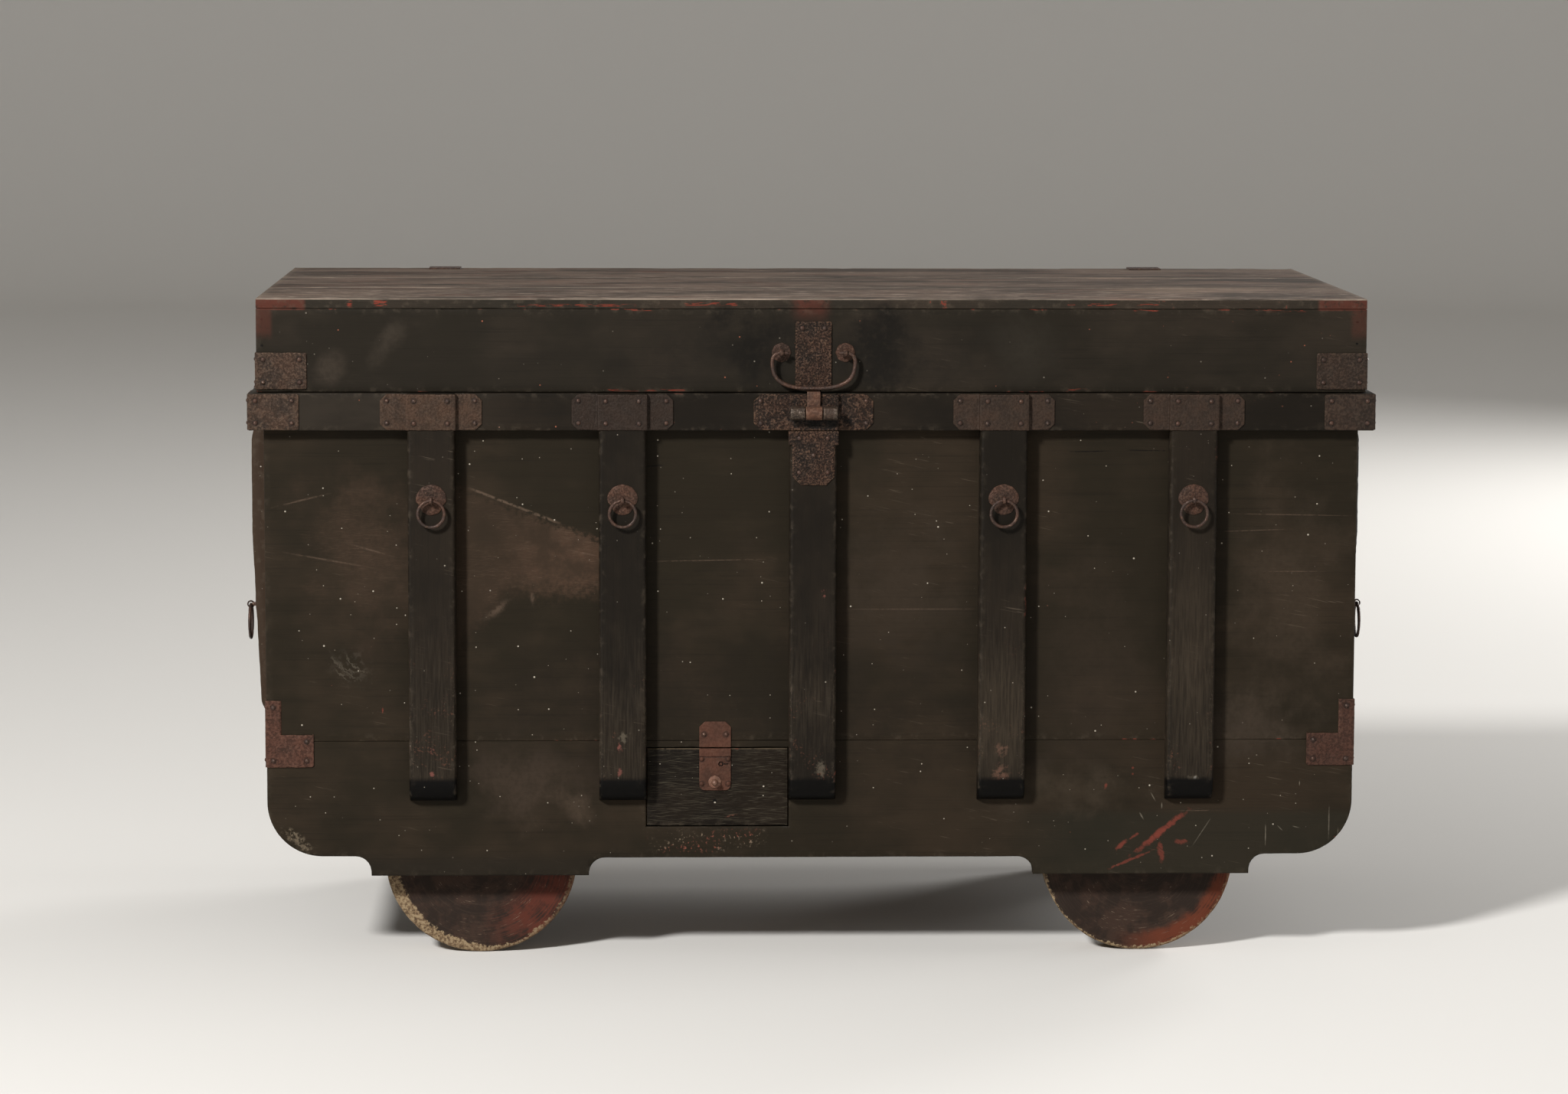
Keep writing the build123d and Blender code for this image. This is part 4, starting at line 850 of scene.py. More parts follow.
def lay_chest_marks(f, front):
    """The chest front's own wear: rubbed brown patches, pale swirls and scratches, and a red scrape."""
    border = f.noise(0.06, 5, 0.62, 31)
    torn = f.noise(0.007, 4, 0.62, 32)
    wisps = f.plus(f.marks(-4, 41, 0.05, 0.0022, 0.58, 2.5), f.marks(14, 42, 0.03, 0.0016, 0.6, 2.5))
    f.lay((33, 32, 25), front, f.fade(f.z, 0.222, 0.206), f.fade(f.x, 0.22, 0.42), 0.55)
    f.lay((27, 24, 19), front, f.fade(f.z, 0.165, 0.135), f.fade(f.x, -0.10, -0.30), 0.6)
    f.lay_spots([
        (-620, 600, 90, 110, 10, 0.5, (56, 43, 33)), (-410, 262, 85, 55, -15, 0.5, (61, 50, 41)),
        (-352, 228, 34, 20, -20, 0.4, (70, 58, 47)), (120, 540, 100, 110, 0, 0.4, (49, 41, 33)),
        (400, 420, 90, 160, 0, 0.3, (49, 40, 32)), (360, 250, 120, 30, 0, 0.45, (56, 48, 38)),
        (640, 330, 80, 50, 0, 0.6, (53, 45, 37)), (690, 520, 85, 170, 0, 0.33, (60, 50, 40)),
        (-110, 370, 420, 110, 0, 0.4, (24, 20, 15)),
    ], border, 0.8, 0.9, front, f.fade(torn, 0.3, 0.6, 0.7, 1.15))
    lay_rubbed_field(f, front, border, torn, wisps)
    f.lay_spots([
        (-735, 672, 35, 1.4, 14), (-455, 513, 20, 6, 38), (-700, 585, 55, 1.4, -10), (-640, 600, 30, 1.4, -16),
        (-405, 530, 3, 9, 5), (148, 512.5, 92, 0.8, 0), (563, 215.5, 29, 0.9, 0), (-330, 594.5, 20, 1.2, -12),
        (-150, 584, 80, 0.9, 1), (690, 650, 85, 0.9, -1), (640, 627, 50, 0.8, 2), (700, 567, 40, 0.8, 0),
    ], torn, 0.9, 0.7, front, f.fade(torn, 0.36, 0.56, 0.25, 1.0), 0.4, tone=(97, 80, 67))
    for x, z, radius, wide, turn in (
        (-640, 470, 60, 28, 15), (-634, 462, 42, 22, 5), (-628, 474, 78, 14, -4), (-660, 452, 30, 20, 60),
    ):
        middle = x - 0.7 * radius * math.cos(math.radians(turn)), z - radius * 0.75
        f.lay((84, 77, 66), front, f.arc(x * MM, z * MM, radius * MM, 0.0016, torn),
              f.spot(*middle, wide, 20, -30, torn, 0.8, 0.9), 0.45)
    f.lay((81, 74, 64), front, f.spot(-668, 424, 34, 22, -30, border, 0.6, 0.9), f.fade(torn, 0.5, 0.62), 0.25)
    crumbs = f.noise(0.0042, 4, 0.66, 38)
    f.lay((95, 84, 69), front, f.spot(-747, 176, 26, 8, -41, torn, 0.8, 0.6), f.fade(crumbs, 0.44, 0.54), 0.75)
    streaks = f.noise((0.030, 0.05, 0.0018), 4, 0.6, 39, -38)
    f.lay_spots([
        (517, 190, 38, 4.2, 38, 0.75), (498, 173, 30, 4.4, 37, 0.7), (467, 143, 32, 2, 23, 0.65),
        (511, 154, 4.5, 13, 10, 0.6), (453.5, 165, 10, 3.4, 41, 0.75), (471, 177.5, 7, 2, 35, 0.6),
        (541, 169, 9, 3.6, 0, 0.55), (429, 252, 2.2, 4.8, -10, 0.7), (468.5, 278.8, 1.5, 1.5, 0, 0.7),
        (468.5, 269.8, 1.7, 1.5, 0, 0.7), (772, 175, 6, 1, -10, 0.7), (713, 149.5, 13, 1.2, 0, 0.5),
        (-622, 365, 1.4, 3.5, 0, 0.8),
    ], torn, 0.6, 0.5, front, f.fade(streaks, 0.30, 0.46, 0.45, 1.0), tone=(104, 50, 40))
    f.lay_spots([
        (664.2, 179.5, 0.8, 16, 0, 0.48), (757, 198, 1, 24, 0, 0.32), (770.5, 181, 0.7, 9, 0, 0.4),
        (709, 190.6, 6, 0.7, -15, 0.4), (685.5, 189, 5, 0.7, -45, 0.36), (713, 256, 0.7, 4, 0, 0.48),
        (572, 186, 23, 0.8, 57, 0.28), (498.5, 236.5, 9, 0.8, -61, 0.4), (511.6, 222.8, 0.9, 4, 0, 0.48),
        (482, 208, 5, 1, -60, 0.48), (630.9, 231.5, 1.1, 1.1, 0, 0.72), (649.6, 297.2, 1.2, 0.9, 0, 0.64),
        (638, 292.2, 1.2, 0.9, 0, 0.56),
    ], torn, 0.5, 0.6, front, f.fade(torn, 0.32, 0.5, 0.5, 1.0), tone=(124, 116, 102))
    f.lay_spots([
        (-228, 721.5, 16, 0.9, 4), (397.5, 742, 27, 0.9, 1), (483, 743.5, 31, 0.9, -1),
    ], torn, 0.8, 0.6, front, 0.85, tone=(12, 10, 8))
    chalk = f.blend(f.fade(border, 0.5, 0.54), (112, 98, 82), (112, 66, 54))
    f.lay(chalk, front, f.span("x", -0.225, -0.065, 0.02), f.span("z", 0.158, 0.188, 0.006),
          f.fade(border, 0.40, 0.52), f.fade(crumbs, 0.57, 0.63), 0.85)


def lay_lid_marks(f, front):
    """The lid front's own wear: pale patches, red dashes along its arrises, old nail holes, dark
    stains beside the latch and red where plates are lost."""
    border = f.noise(0.06, 5, 0.62, 31)
    torn = f.noise(0.007, 4, 0.62, 32)
    f.lay_spots([
        (-611, 900, 16, 36, -35, 0.5, (56, 49, 41)), (-696, 862, 20, 26, 20, 0.45, (58, 50, 42)),
        (300, 890, 45, 45, 20, 0.35, (48, 44, 37)), (-20, 890, 300, 60, 0, 0.5, (24, 21, 17)),
    ], border, 0.8, 0.9, front, f.fade(torn, 0.3, 0.6, 0.7, 1.15))
    dashes = f.fade(f.noise((0.016, 0.05, 0.0016), 3, 0.6, 36), 0.5, 0.56)
    for left, right, z, half in (
        (-425, -255, 953.5, 1.6), (-185, -110, 955.5, 2.2), (-295, -185, 831.5, 1.2), (-262, -230, 947, 1.2),
        (-630, -612, 956, 4.5), (-668, -662, 957, 7), (395, 436, 955, 1.6), (465, 497, 955.2, 1),
        (462, 497, 946.2, 1), (366, 376, 955.2, 1.4), (650, 710, 946.2, 1), (368, 394, 832.5, 1.2),
    ):
        row = f.times(f.span("x", left * MM, right * MM), f.span("z", (z - half) * MM, (z + half) * MM, 0.0008))
        f.lay((112, 46, 34), front, row, dashes, 0.85)
    holes = ((-790.5, 951.5), (-790.5, 933), (-790.5, 895.5), (-739, 951.5), (785, 930), (785, 899), (734, 954.5),
             (785, 953))
    f.lay_spots([(x, z, 2.2, 1.8, 0) for x, z in holes], torn, 0.3, 0.4, front, tone=(8, 7, 6))
    stain = f.plus(f.spot(-85, 895, 50, 50, 0, border, 0.9, 0.9), f.spot(85, 893, 55, 55, 0, border, 0.9, 0.9))
    f.lay((17, 15, 12), front, stain, f.fade(torn, 0.32, 0.52, 0.45, 1.0), 0.85)
    joint = f.fade(f.z, 0.945, 0.948)
    ghost = f.times(f.span("x", -0.026, 0.0185, 0.012), f.fade(f.z, 0.922, 0.962, 0.0, 0.85))
    for side in (-1, 1):
        upper = f.times(f.span("x", *sorted((side * 0.729, side * 0.801)), 0.003), joint, 0.85)
        lower = f.times(f.span("x", *sorted((side * 0.777, side * 0.801)), 0.004), f.fade(f.z, 0.900, 0.920), 0.45)
        ghost = f.plus(ghost, f.sum("MAXIMUM", upper, lower))
    f.lay((80, 42, 33), front, ghost, f.fade(torn, 0.24, 0.48), f.fade(border, 0.3, 0.6, 0.6, 0.9))


def lay_drawer_marks(f, front):
    """The drawer front's own wear: a pale top arris, worn and partly a painted highlight, faint scratches, a small
    plugged hole and a chip.
    """
    torn = f.noise(0.007, 4, 0.62, 37)
    # Pale top arris: wear, and a painted highlight on the edge that faces up to the light
    f.lay((78, 67, 52), front, f.fade(f.z, 0.3070, 0.3080), f.fade(torn, 0.34, 0.5), 0.7)
    scratch = f.plus(f.marks(-4, 43, 0.04, 0.0012, 0.58, 1.2), f.marks(7, 44, 0.03, 0.001, 0.6, 1.2))
    f.lay((72, 66, 54), front, scratch, 0.35)
    f.lay((92, 58, 46), front, f.spot(-117, 209.5, 8.5, 1.6, 12, torn, 0.9, 0.5), f.fade(torn, 0.4, 0.5), 0.7)
    f.lay_spots([(-141, 231.4, 3.2, 3.6, 0, (10, 8, 7)), (-140.8, 229.3, 1.6, 1.2, 0, (150, 140, 126))],
                torn, 0.2, 0.4, front)


def lay_post_marks(f, cloud, height, seed=19.0):
    """Wear of the posts, most of all low down: grey wood in lines, chipped arrises, scars and pale
    patches; the left end post painted lighter brown as painted light, and the feet painted dark as painted shade.
    Returns the relief with the worn lines."""
    streak = f.noise(lengthwise("z", 0.05, 0.0026), 5, 0.68, seed)
    low = f.fade(f.z, 0.60, 0.36)
    f.lay((52, 45, 36), low, f.fade(cloud, 0.34, 0.58), f.fade(streak, 0.4, 0.66), 0.5)
    f.lay((18, 15, 12), low, f.fade(streak, 0.42, 0.34), 0.35)
    crumb = f.noise(0.0034, 3, 0.6, 34)
    drift = f.noise(0.045, 4, 0.62, 35)
    chipped = f.fade(f.plus(drift, f.times(f.mark("arris"), 0.16)), 0.52, 0.68)
    bare = f.blend(f.fade(drift, 0.54, 0.6), (84, 74, 62), (92, 60, 47))
    f.lay(bare, f.fade(f.z, 0.52, 0.32), chipped, f.fade(crumb, 0.58, 0.64), 0.45)
    front = f.fade(f.y, -0.36, -0.39)
    torn = f.noise(0.006, 4, 0.68, 33)
    f.lay_spots([
        (-549, 312, 3, 5, 0, (116, 70, 62)), (-550, 276, 2.5, 4, 0, (116, 70, 62)),
        (-273.5, 331, 7, 8, 0, (86, 78, 66)), (-279, 314, 2.8, 6, 0, (116, 70, 62)),
        (-279, 278, 2.5, 5, 0, (116, 70, 62)), (274.5, 310, 8, 8, 0, (100, 71, 58)),
        (272, 276, 10, 10, 0, (100, 71, 58)), (556.5, 268, 10, 4, 0, (86, 78, 66)),
        (12, 282, 6, 12, 0, (86, 78, 66)), (15, 537, 3, 6, 0, (116, 70, 62)),
    ], torn, 1.0, 0.8, front, f.fade(torn, 0.62, 0.47), 0.6)
    f.lay((140, 136, 128), front, f.spot(556.5, 268.5, 2.4, 1.8, 30, torn, 0.7, 0.4), 0.7)
    f.lay_spots([
        (274.5, 360, 45, 100, 0, 0.4), (549, 460, 45, 200, 0, 0.28),
    ], cloud, 0.5, 0.9, front, f.fade(streak, 0.36, 0.6, 0.4, 1.0), tone=(70, 60, 48))
    # Painted light: the end post at the left end, lit from the left, painted lighter brown
    f.lay((58, 44, 33), f.fade(f.x, -0.792, -0.796, 0.0, 0.6))
    # Painted shade: the feet, which curve under away from the light, painted nearly black
    f.lay((4, 3, 2), f.fade(f.z, 0.273, 0.264))
    return f.plus(height, f.times(low, streak, 0.6))


def make_black_lacquer(name, axis, posts=False, seed=13.0):
    """Blacker lacquer of the posts and of the band, which is browner at its left end."""
    f = Finish(name)
    cloud, smear, lines = aged_lacquer(f, axis, (21, 17, 12), (30, 24, 17), seed)
    height = f.plus(f.times(lines, -0.5), f.times(smear, 0.5))
    if posts:
        height = lay_post_marks(f, cloud, height)
    else:
        f.lay((46, 40, 33), f.fade(f.x, -0.40, -0.62), f.fade(smear, 0.3, 0.6, 0.5, 1.0), 0.6)
    lay_specks(f, seed, 0.010, 0.66)
    lay_red_arris(f, seed, 1.085, (85, 46, 37))
    return f.finished(f.fade(cloud, 0.35, 0.65, 0.45, 0.62), height, sheen=0.09)


def make_weathered_wood():
    """Lid top: lacquer weathered to grey-brown wood with pale streaks and dark grain along X, palest
    near the front. Its front and end arrises keep the dark lacquer and the red marks of lost plates."""
    f = Finish("weathered_top")
    grain = f.noise((0.16, 0.008, 0.008), 5, 0.68, 1)
    fine = f.noise((0.06, 0.0026, 0.0026), 3, 0.6, 2)
    cloud = f.noise((0.3, 0.09, 0.09), 5, 0.65, 3)
    fleck = f.noise((0.045, 0.011, 0.011), 5, 0.7, 4)
    level = f.sum("MULTIPLY_ADD", f.fade(f.y, 0.0, -0.34), 0.07, fleck)
    f.colour = (56, 49, 43)
    f.lay((93, 79, 69), f.fade(cloud, 0.38, 0.6))
    f.lay((36, 31, 27), f.fade(grain, 0.46, 0.37), 0.55)
    f.lay((108, 93, 82), f.fade(grain, 0.5, 0.66), f.fade(fine, 0.3, 0.55), 0.7)
    f.lay((152, 136, 122), f.fade(level, 0.56, 0.72), f.fade(cloud, 0.36, 0.54), 0.7)
    f.lay((40, 34, 30), f.fade(fleck, 0.42, 0.34), 0.45)
    f.lay((146, 124, 106), f.span("x", 0.44, 0.66, 0.08), f.span("y", -0.22, -0.12, 0.08), f.fade(grain, 0.4, 0.6), 0.7)
    f.lay((93, 63, 51), f.fade(f.noise((0.12, 0.03, 0.03), 4, 0.6, 5), 0.56, 0.7), 0.5)
    # Pale arrises: worn wood, and partly a painted highlight along the edges that catch the light
    f.lay((136, 124, 111), f.mark("arris"), f.fade(grain, 0.35, 0.6), 0.6)
    wood = f.colour
    aged_lacquer(f, "x", (37, 33, 27), (46, 39, 32), 6)
    lay_lid_marks(f, f.fade(f.y, -0.366, -0.369))
    lay_red_arris(f, 7, 1.075, (105, 46, 35))
    f.lay(wood, f.fade(f.z, 0.9608, 0.9622))
    return f.finished(0.82, f.plus(f.times(grain, 0.8), f.times(fine, -0.5)), 0.0009, 0.7, 0.09)


def make_iron(name, base, dark, light, pits, rust, seed, metal=0.1, sheen=0.2, grain=0.0042, gloss=0.52,
              dull=0.0, knuckle_shadow=0.0):
    """Forged iron under rust: dark pits and pale ridges a few millimetres wide, browner patches, and a
    dark ring round each nail. Dull is how much darker it is away from the trunk's left end; the last argument sets how
    dark a painted shadow under the latch's knuckles is."""
    f = Finish(name)
    patch = f.noise(0.028, 4, 0.6, seed)
    crust = f.noise(grain, 4, 0.66, seed + 1)
    coarse = f.noise(0.013, 3, 0.55, seed + 2)
    skin = f.plus(f.times(crust, 0.8), f.times(coarse, 0.2))
    pit = f.fade(skin, 0.5, 0.42)
    f.colour = base
    f.lay(rust, f.fade(patch, 0.42, 0.62))
    f.lay(dark, f.fade(patch, 0.46, 0.34), 0.5)
    f.lay(dark, pit, pits)
    f.lay(light, f.fade(skin, 0.53, 0.62), 0.3 + 0.4 * pits)
    f.lay(light, f.mark("arris"), f.fade(crust, 0.42, 0.58), 0.5)
    if dull:
        f.lay(toned(dark, 0.8), f.fade(f.x, -0.5, -0.34), f.fade(f.x, 0.0, 0.24, 1.0, 0.6), dull)
    # Painted shadow cast under the latch's knuckles
    if knuckle_shadow:
        under = f.spot(4, 787, 46, 14, 0, coarse, 0.6, 0.7)
        f.lay((10, 7, 5), under, f.fade(f.z, 0.772, 0.778), knuckle_shadow)
    # The nail ring attribute also carries the lock plate's painted shade in its keyhole and crease
    f.lay(toned(dark, 0.6), f.mark("nail_ring_and_shade"), 0.75)
    return f.finished(f.fade(skin, 0.4, 0.6, gloss + 0.28, gloss), f.plus(skin, f.times(pit, -0.3 * pits)),
                      0.0022 * (0.4 + 0.6 * pits), 0.9, sheen, metal)


def make_wheel_wood():
    """Wheel: dark paint with short scratches along its turning, worn to pale wood at the rim. The left
    wheels' rim is worn wide; the right ones' rim is thin, with an orange band inside it. The around
    attribute holds the radius and the cosine and sine of the turn."""
    f = Finish("turned_wheel")
    around = f.mark("around", "Vector")
    radius, up, right = f.split(around)
    rounds = f.noise((0.0022, 0.5, 0.5), 3, 0.6, 4, place=around)
    arcs = f.noise((0.0013, 0.14, 0.14), 2, 0.5, 5, place=around)
    patch = f.noise(0.035, 5, 0.65, 6)
    fine = f.noise(0.0045, 4, 0.66, 7)
    left_pair = f.fade(f.x, 0.01, -0.01)
    streaked = f.plus(f.times(patch, 0.6), f.times(rounds, 0.5))
    f.colour = (35, 26, 20)
    f.lay((50, 36, 28), f.fade(patch, 0.42, 0.6))
    f.lay((64, 51, 41), f.fade(rounds, 0.5, 0.72), 0.35)
    f.lay((84, 36, 24), left_pair, f.fade(right, -0.1, 0.7), f.fade(radius, 0.06, 0.10),
          f.fade(streaked, 0.44, 0.62), 0.7)
    f.lay((92, 44, 26), f.sum("SUBTRACT", 1.0, left_pair), f.fade(right, -0.35, 0.35), f.fade(up, 0.5, 0.2),
          f.fade(f.plus(radius, f.times(patch, 0.03)), 0.124, 0.140), f.fade(streaked, 0.4, 0.56), 0.85)
    f.lay((112, 96, 80), f.fade(arcs, 0.66, 0.72), f.fade(patch, 0.46, 0.56), 0.7)
    worn = f.times(left_pair, f.fade(right, 0.5, -0.8), 0.012)
    reach = f.plus(radius, worn, f.times(left_pair, 0.003), f.times(fine, 0.016), f.times(patch, 0.018))
    bare = f.blend(f.fade(fine, 0.45, 0.6), (104, 84, 62), (134, 116, 90))
    f.lay(bare, f.fade(reach, 0.1525, 0.1550), f.fade(right, 1.0, 0.1, 0.45, 1.0), f.fade(fine, 0.36, 0.5, 0.35, 1.0))
    height = f.plus(f.times(rounds, 0.5), f.times(patch, 0.4), f.times(fine, 0.3))
    return f.finished(0.7, height, 0.0008, 0.6, 0.15)


def make_bare_wood():
    """Unpainted wood with dark grain along X."""
    f = Finish("unpainted_wood")
    grain = f.noise((0.2, 0.004, 0.004), 4, 0.6, 21)
    f.colour = (112, 92, 70)
    f.lay((90, 72, 55), f.fade(f.noise(0.12, 4, 0.6, 22), 0.35, 0.65))
    f.lay((62, 49, 38), f.fade(grain, 0.48, 0.66), 0.7)
    return f.finished(0.75, grain, sheen=0.3)


front_lacquer = make_lacquer("board_lacquer", "x", lay_chest_marks)
lid_lacquer = make_lacquer("lid_lacquer", "x", lay_lid_marks, (30, 26, 20), (39, 33, 26))
end_lacquer = make_lacquer("end_lacquer", "y", seed=5.0)
drawer_lacquer = make_lacquer("drawer_lacquer", "x", lay_drawer_marks, (20, 16, 12), (27, 21, 15), 8.0)
post_lacquer = make_black_lacquer("post_lacquer", "z", True)
band_lacquer = make_black_lacquer("band_lacquer", "x")
end_band_lacquer = make_black_lacquer("end_band_lacquer", "y")
weathered_top = make_weathered_wood()
unpainted_wood = make_bare_wood()
turned_wheel = make_wheel_wood()

# Irons: base, dark and light tones, pits, rust tone, seed, and what differs from the usual
plate_iron = make_iron("plate_iron", (53, 39, 29), (37, 27, 20), (72, 55, 42), 0.35, (61, 43, 31), 0.0,
                       grain=0.0034, dull=0.78)
corner_iron = make_iron("corner_iron", (52, 39, 30), (33, 25, 19), (84, 66, 51), 0.5, (60, 43, 32), 2.0,
                        grain=0.0034, dull=0.75)
latch_iron = make_iron("latch_iron", (39, 27, 19), (17, 12, 8), (92, 68, 51), 0.75, (48, 31, 21), 3.0,
                       grain=0.0030, knuckle_shadow=0.9)
forged_iron = make_iron("forged_iron", (54, 38, 30), (34, 25, 19), (106, 82, 65), 0.3, (68, 44, 32), 5.0, 0.4, 0.5,
                        gloss=0.38)
red_iron = make_iron("red_iron", (66, 41, 30), (50, 32, 23), (80, 53, 40), 0.2, (74, 45, 33), 7.0)
bracket_iron = make_iron("bracket_iron", (65, 41, 31), (42, 28, 21), (86, 59, 46), 0.55, (70, 43, 32), 8.0, dull=0.45)
knob_iron = make_iron("knob_iron", (100, 70, 55), (68, 45, 34), (136, 104, 86), 0.2, (108, 70, 53), 11.0, 0.3, 0.5,
                      gloss=0.36)
hinge_iron = make_iron("hinge_iron", (56, 46, 38), (30, 25, 20), (100, 88, 76), 0.4, (66, 50, 40), 4.0, 0.6, 0.5,
                       gloss=0.28)
eye_iron = make_iron("eye_iron", (70, 48, 36), (42, 28, 21), (104, 78, 60), 0.3, (84, 54, 38), 6.0, 0.3, 0.4)
rosette_iron = make_iron("rosette_iron", (60, 42, 33), (34, 25, 19), (88, 66, 52), 0.5, (70, 46, 34), 10.0,
                         grain=0.0030)
dull_iron = make_iron("dull_iron", (62, 54, 46), (42, 36, 30), (90, 80, 70), 0.4, (68, 56, 46), 9.0, 0.5, 0.5)

# Finishes of each slot, first the one for solids that keep their shape
finishes = {
    "lacquered_wood": [front_lacquer, lid_lacquer, drawer_lacquer, end_lacquer],
    "black_lacquer": [post_lacquer, band_lacquer, end_band_lacquer],
    "weathered_wood": [weathered_top],
    "bare_wood": [unpainted_wood],
    "wheel_wood": [turned_wheel],
    "pitted_iron": [forged_iron, plate_iron, corner_iron, latch_iron, hinge_iron, eye_iron, rosette_iron],
    "reddened_iron": [red_iron, bracket_iron, knob_iron],
    "plain_iron": [dull_iron],
}

# Chest

for place, seed in (("front", 1), ("back", 7)):
    node = place + "_upper_board"
    piece("upper_panel_" + place, [board(*node_corners(node), 0, seed=seed)], front_lacquer, "trunk", node)
    node = place + "_rail"
    piece("band_" + place, [board(*node_corners(node), 0, 7.0, 6.0, seed=seed + 3)], band_lacquer, "trunk", node)
piece("lower_panel_front", [lower_board("front", DRAWER_OPENING)], front_lacquer, "trunk", "front_lower_board")
piece("lower_panel_back", [lower_board("back")], front_lacquer, "trunk", "back_lower_board")

walls, sills, bands = [], [], []
inner_depth, sill_top = HALF_DEPTH - WALL, TOE_LEVEL + TOE_RADIUS + 12
for side in (-1, 1):
    walls.append(end_board(side, HALF_LENGTH, WALL, inner_depth, sill_top, SEAT, seed=13 + side))
    bands.append(end_board(side, HALF_LENGTH + RAIL_OUT, RAIL_OUT, HALF_DEPTH, RAIL_LOW, SEAT, 7.0, 6.0,
                           seed=23 + side))
    inward, outer = side * TOE_START, side * HALF_LENGTH
    corners = [(TOE_LEVEL, inward), (sill_top, inward), (sill_top, outer), (TOE_LEVEL, outer)]
    loop, weight = rounded_loop(corners[::-side], [1.4, 1.4, 1.4, 79.0][::-side], 8.0)
    sills.append(carried(loop, weight, 1, MIDDLE_Y - inner_depth, MIDDLE_Y + inner_depth, 9.0, seed=33 + side))
piece("end_walls", walls, end_lacquer, "trunk", "side_boards")
piece("rounded_sills", sills, end_lacquer, "trunk", "end_sills")
piece("band_ends", bands, end_band_lacquer, "trunk", "side_rails")

for wall, seed in (("front", 51), ("back", 71)):
    posts = [stile(wall, x, front_stile_depth, STILE_LOW, seed + 3 * k) for k, x in enumerate(FRONT_PLACES)]
    piece("posts_" + wall, posts, post_lacquer, "trunk", wall + "_stiles")
posts = [stile(wall, y, side_stile_depth, END_POST_FOOT, 91 + k) for k, (wall, y) in enumerate(END_PLACES)]
piece("posts_ends", posts, post_lacquer, "trunk", "side_stiles")

# Lid and drawer front

low, high = node_corners("lid_top_boards")
width = (high[1] - low[1]) / 3
planks = [board((low[0], low[1] + k * width, low[2]), (high[0], low[1] + (k + 1) * width, high[2]), 0,
                hollow=0.5, chips=1.2, seed=101 + 4 * k) for k in range(3)]
piece("lid_planks", planks, weathered_top, "lid", "lid_top_boards")
for place, seed in (("front", 121), ("back", 127)):
    node = "lid_" + place + "_board"
    piece("lid_apron_" + place, [board(*node_corners(node), 0, 8.0, 8.0, seed=seed)], lid_lacquer, "lid", node)
low, high = node_corners("lid_end_boards")
boards = [end_board(side, HALF_LENGTH + LID_PROUD, LID_WALL, (high[1] - low[1]) / 2, low[2], high[2], 8.0, 8.0,
                    seed=133 + side) for side in (-1, 1)]
piece("lid_apron_ends", boards, end_lacquer, "lid", "lid_end_boards")
piece("drawer_face", [board(*node_corners("drawer_front"), 0, 6.0, 6.0, seed=141)], drawer_lacquer, "drawer",
      "drawer_front")

# Iron on the boards

straps = [("front", x) for x in FRONT_PLACES if x] + [("back", x) for x in FRONT_PLACES if abs(x) < 300] + END_PLACES
caps = [on_wall(stile_cap(39, 201 + 5 * k, clipped(9)), wall, along) for k, (wall, along) in enumerate(straps)]
piece("band_caps", caps, plate_iron, "trunk", "rail_plates")
piece("band_corner_irons", at_four_corners(lambda k: square_corner_plate(RAIL_OUT, 775, 827, 261 + k)), corner_iron,
      "trunk", "rail_plates")
piece("low_brackets", at_four_corners(lambda k: corner_bracket(271 + k)), bracket_iron, "trunk", "corner_brackets")
piece("lid_corner_irons", at_four_corners(lambda k: square_corner_plate(LID_PROUD, 832.5, 885.5, 281 + k)),
      corner_iron, "lid", "lid_corner_plates")

# Latch: plate with two knuckles, leg plate, and the lid's strap with its eye

latch_out, latch_z, knuckle, bore = 40.2, 801.0, 10.0, 4.5
knuckles = []
for side in (-1, 1):
    x0, x1 = sorted((side * 13.25, side * 33.75))
    knuckles.append(barrel(x0, x1, -latch_out, latch_z, knuckle, bore, 311 + side))
    knuckles.append(block((x0 + 0.5, 8.0 - latch_out, latch_z - 5), (x1 - 0.5, -28.0, latch_z + 5), 0.6))
piece("latch_cap", [on_wall(stile_cap(52, 301, clipped(10)), "front")], latch_iron, "trunk", "latch_plate")
piece("latch_knuckles", [on_wall(shape, "front") for shape in knuckles], hinge_iron, "trunk", "latch_plate")

flange = 19.5
leg = bent_plate([(-36, -15), (-36, -29), (-30.5, -29), (30.5, -29), (36, -29), (36, -15)],
                 [(-34, -15), (-34, -27), (-30.5, -27), (30.5, -27), (34, -27), (34, -15)], (696, 754, 774),
                 lambda reach: np.clip(12 - (reach - flange), 0, 12) * (reach > 19),
                 keep=lambda s, z, total: (z > 754) | ((s > flange) & (s < total - flange)), seed=321,
                 nails=[(-21, -29, 764), (21, -29, 764), (0, -29, 737), (-21, -29, 714), (21, -29, 714)])
piece("latch_leg", [on_wall(leg, "front")], latch_iron, "trunk", "latch_leg_plate")

strap = flat_plate(-26, 26, (833, 882, 931), -LID_PROUD, 2.5, cut_low=rounded(2), cut_high=rounded(3), seed=331,
                   pits=0.6, ragged=0.8, nails=[(-16, -11.5, 921), (16, -11.5, 921)])
piece("lid_strap_iron", [on_wall(strap, "front")], latch_iron, "lid", "lid_strap")
tongue = bent_plate([(-11.5, 833.0), (-11.5, 831.1), (-33.7, 831.1), (-33.7, latch_z)],
                    [(-9.0, 833.0), (-9.0, 828.9), (-30.2, 828.9), (-30.2, latch_z)], (-9.5, 0, 9.5),
                    seed=341, pits=0.25, ragged=0.3)
# The tongue's plan lies in Y and Z, and its width along X
tongue[0] = tongue[0][:, [2, 0, 1]]
eye = barrel(-11.75, 11.75, -latch_out, latch_z, knuckle, bore, 345)
piece("latch_eye", [on_wall(tongue, "front"), on_wall(eye, "front")], eye_iron, "lid", "lid_latch_eye")

# Bail and its rosettes

bail_out, bail_z, bail_half = LID_PROUD + 12.0, 886.0, 46.0


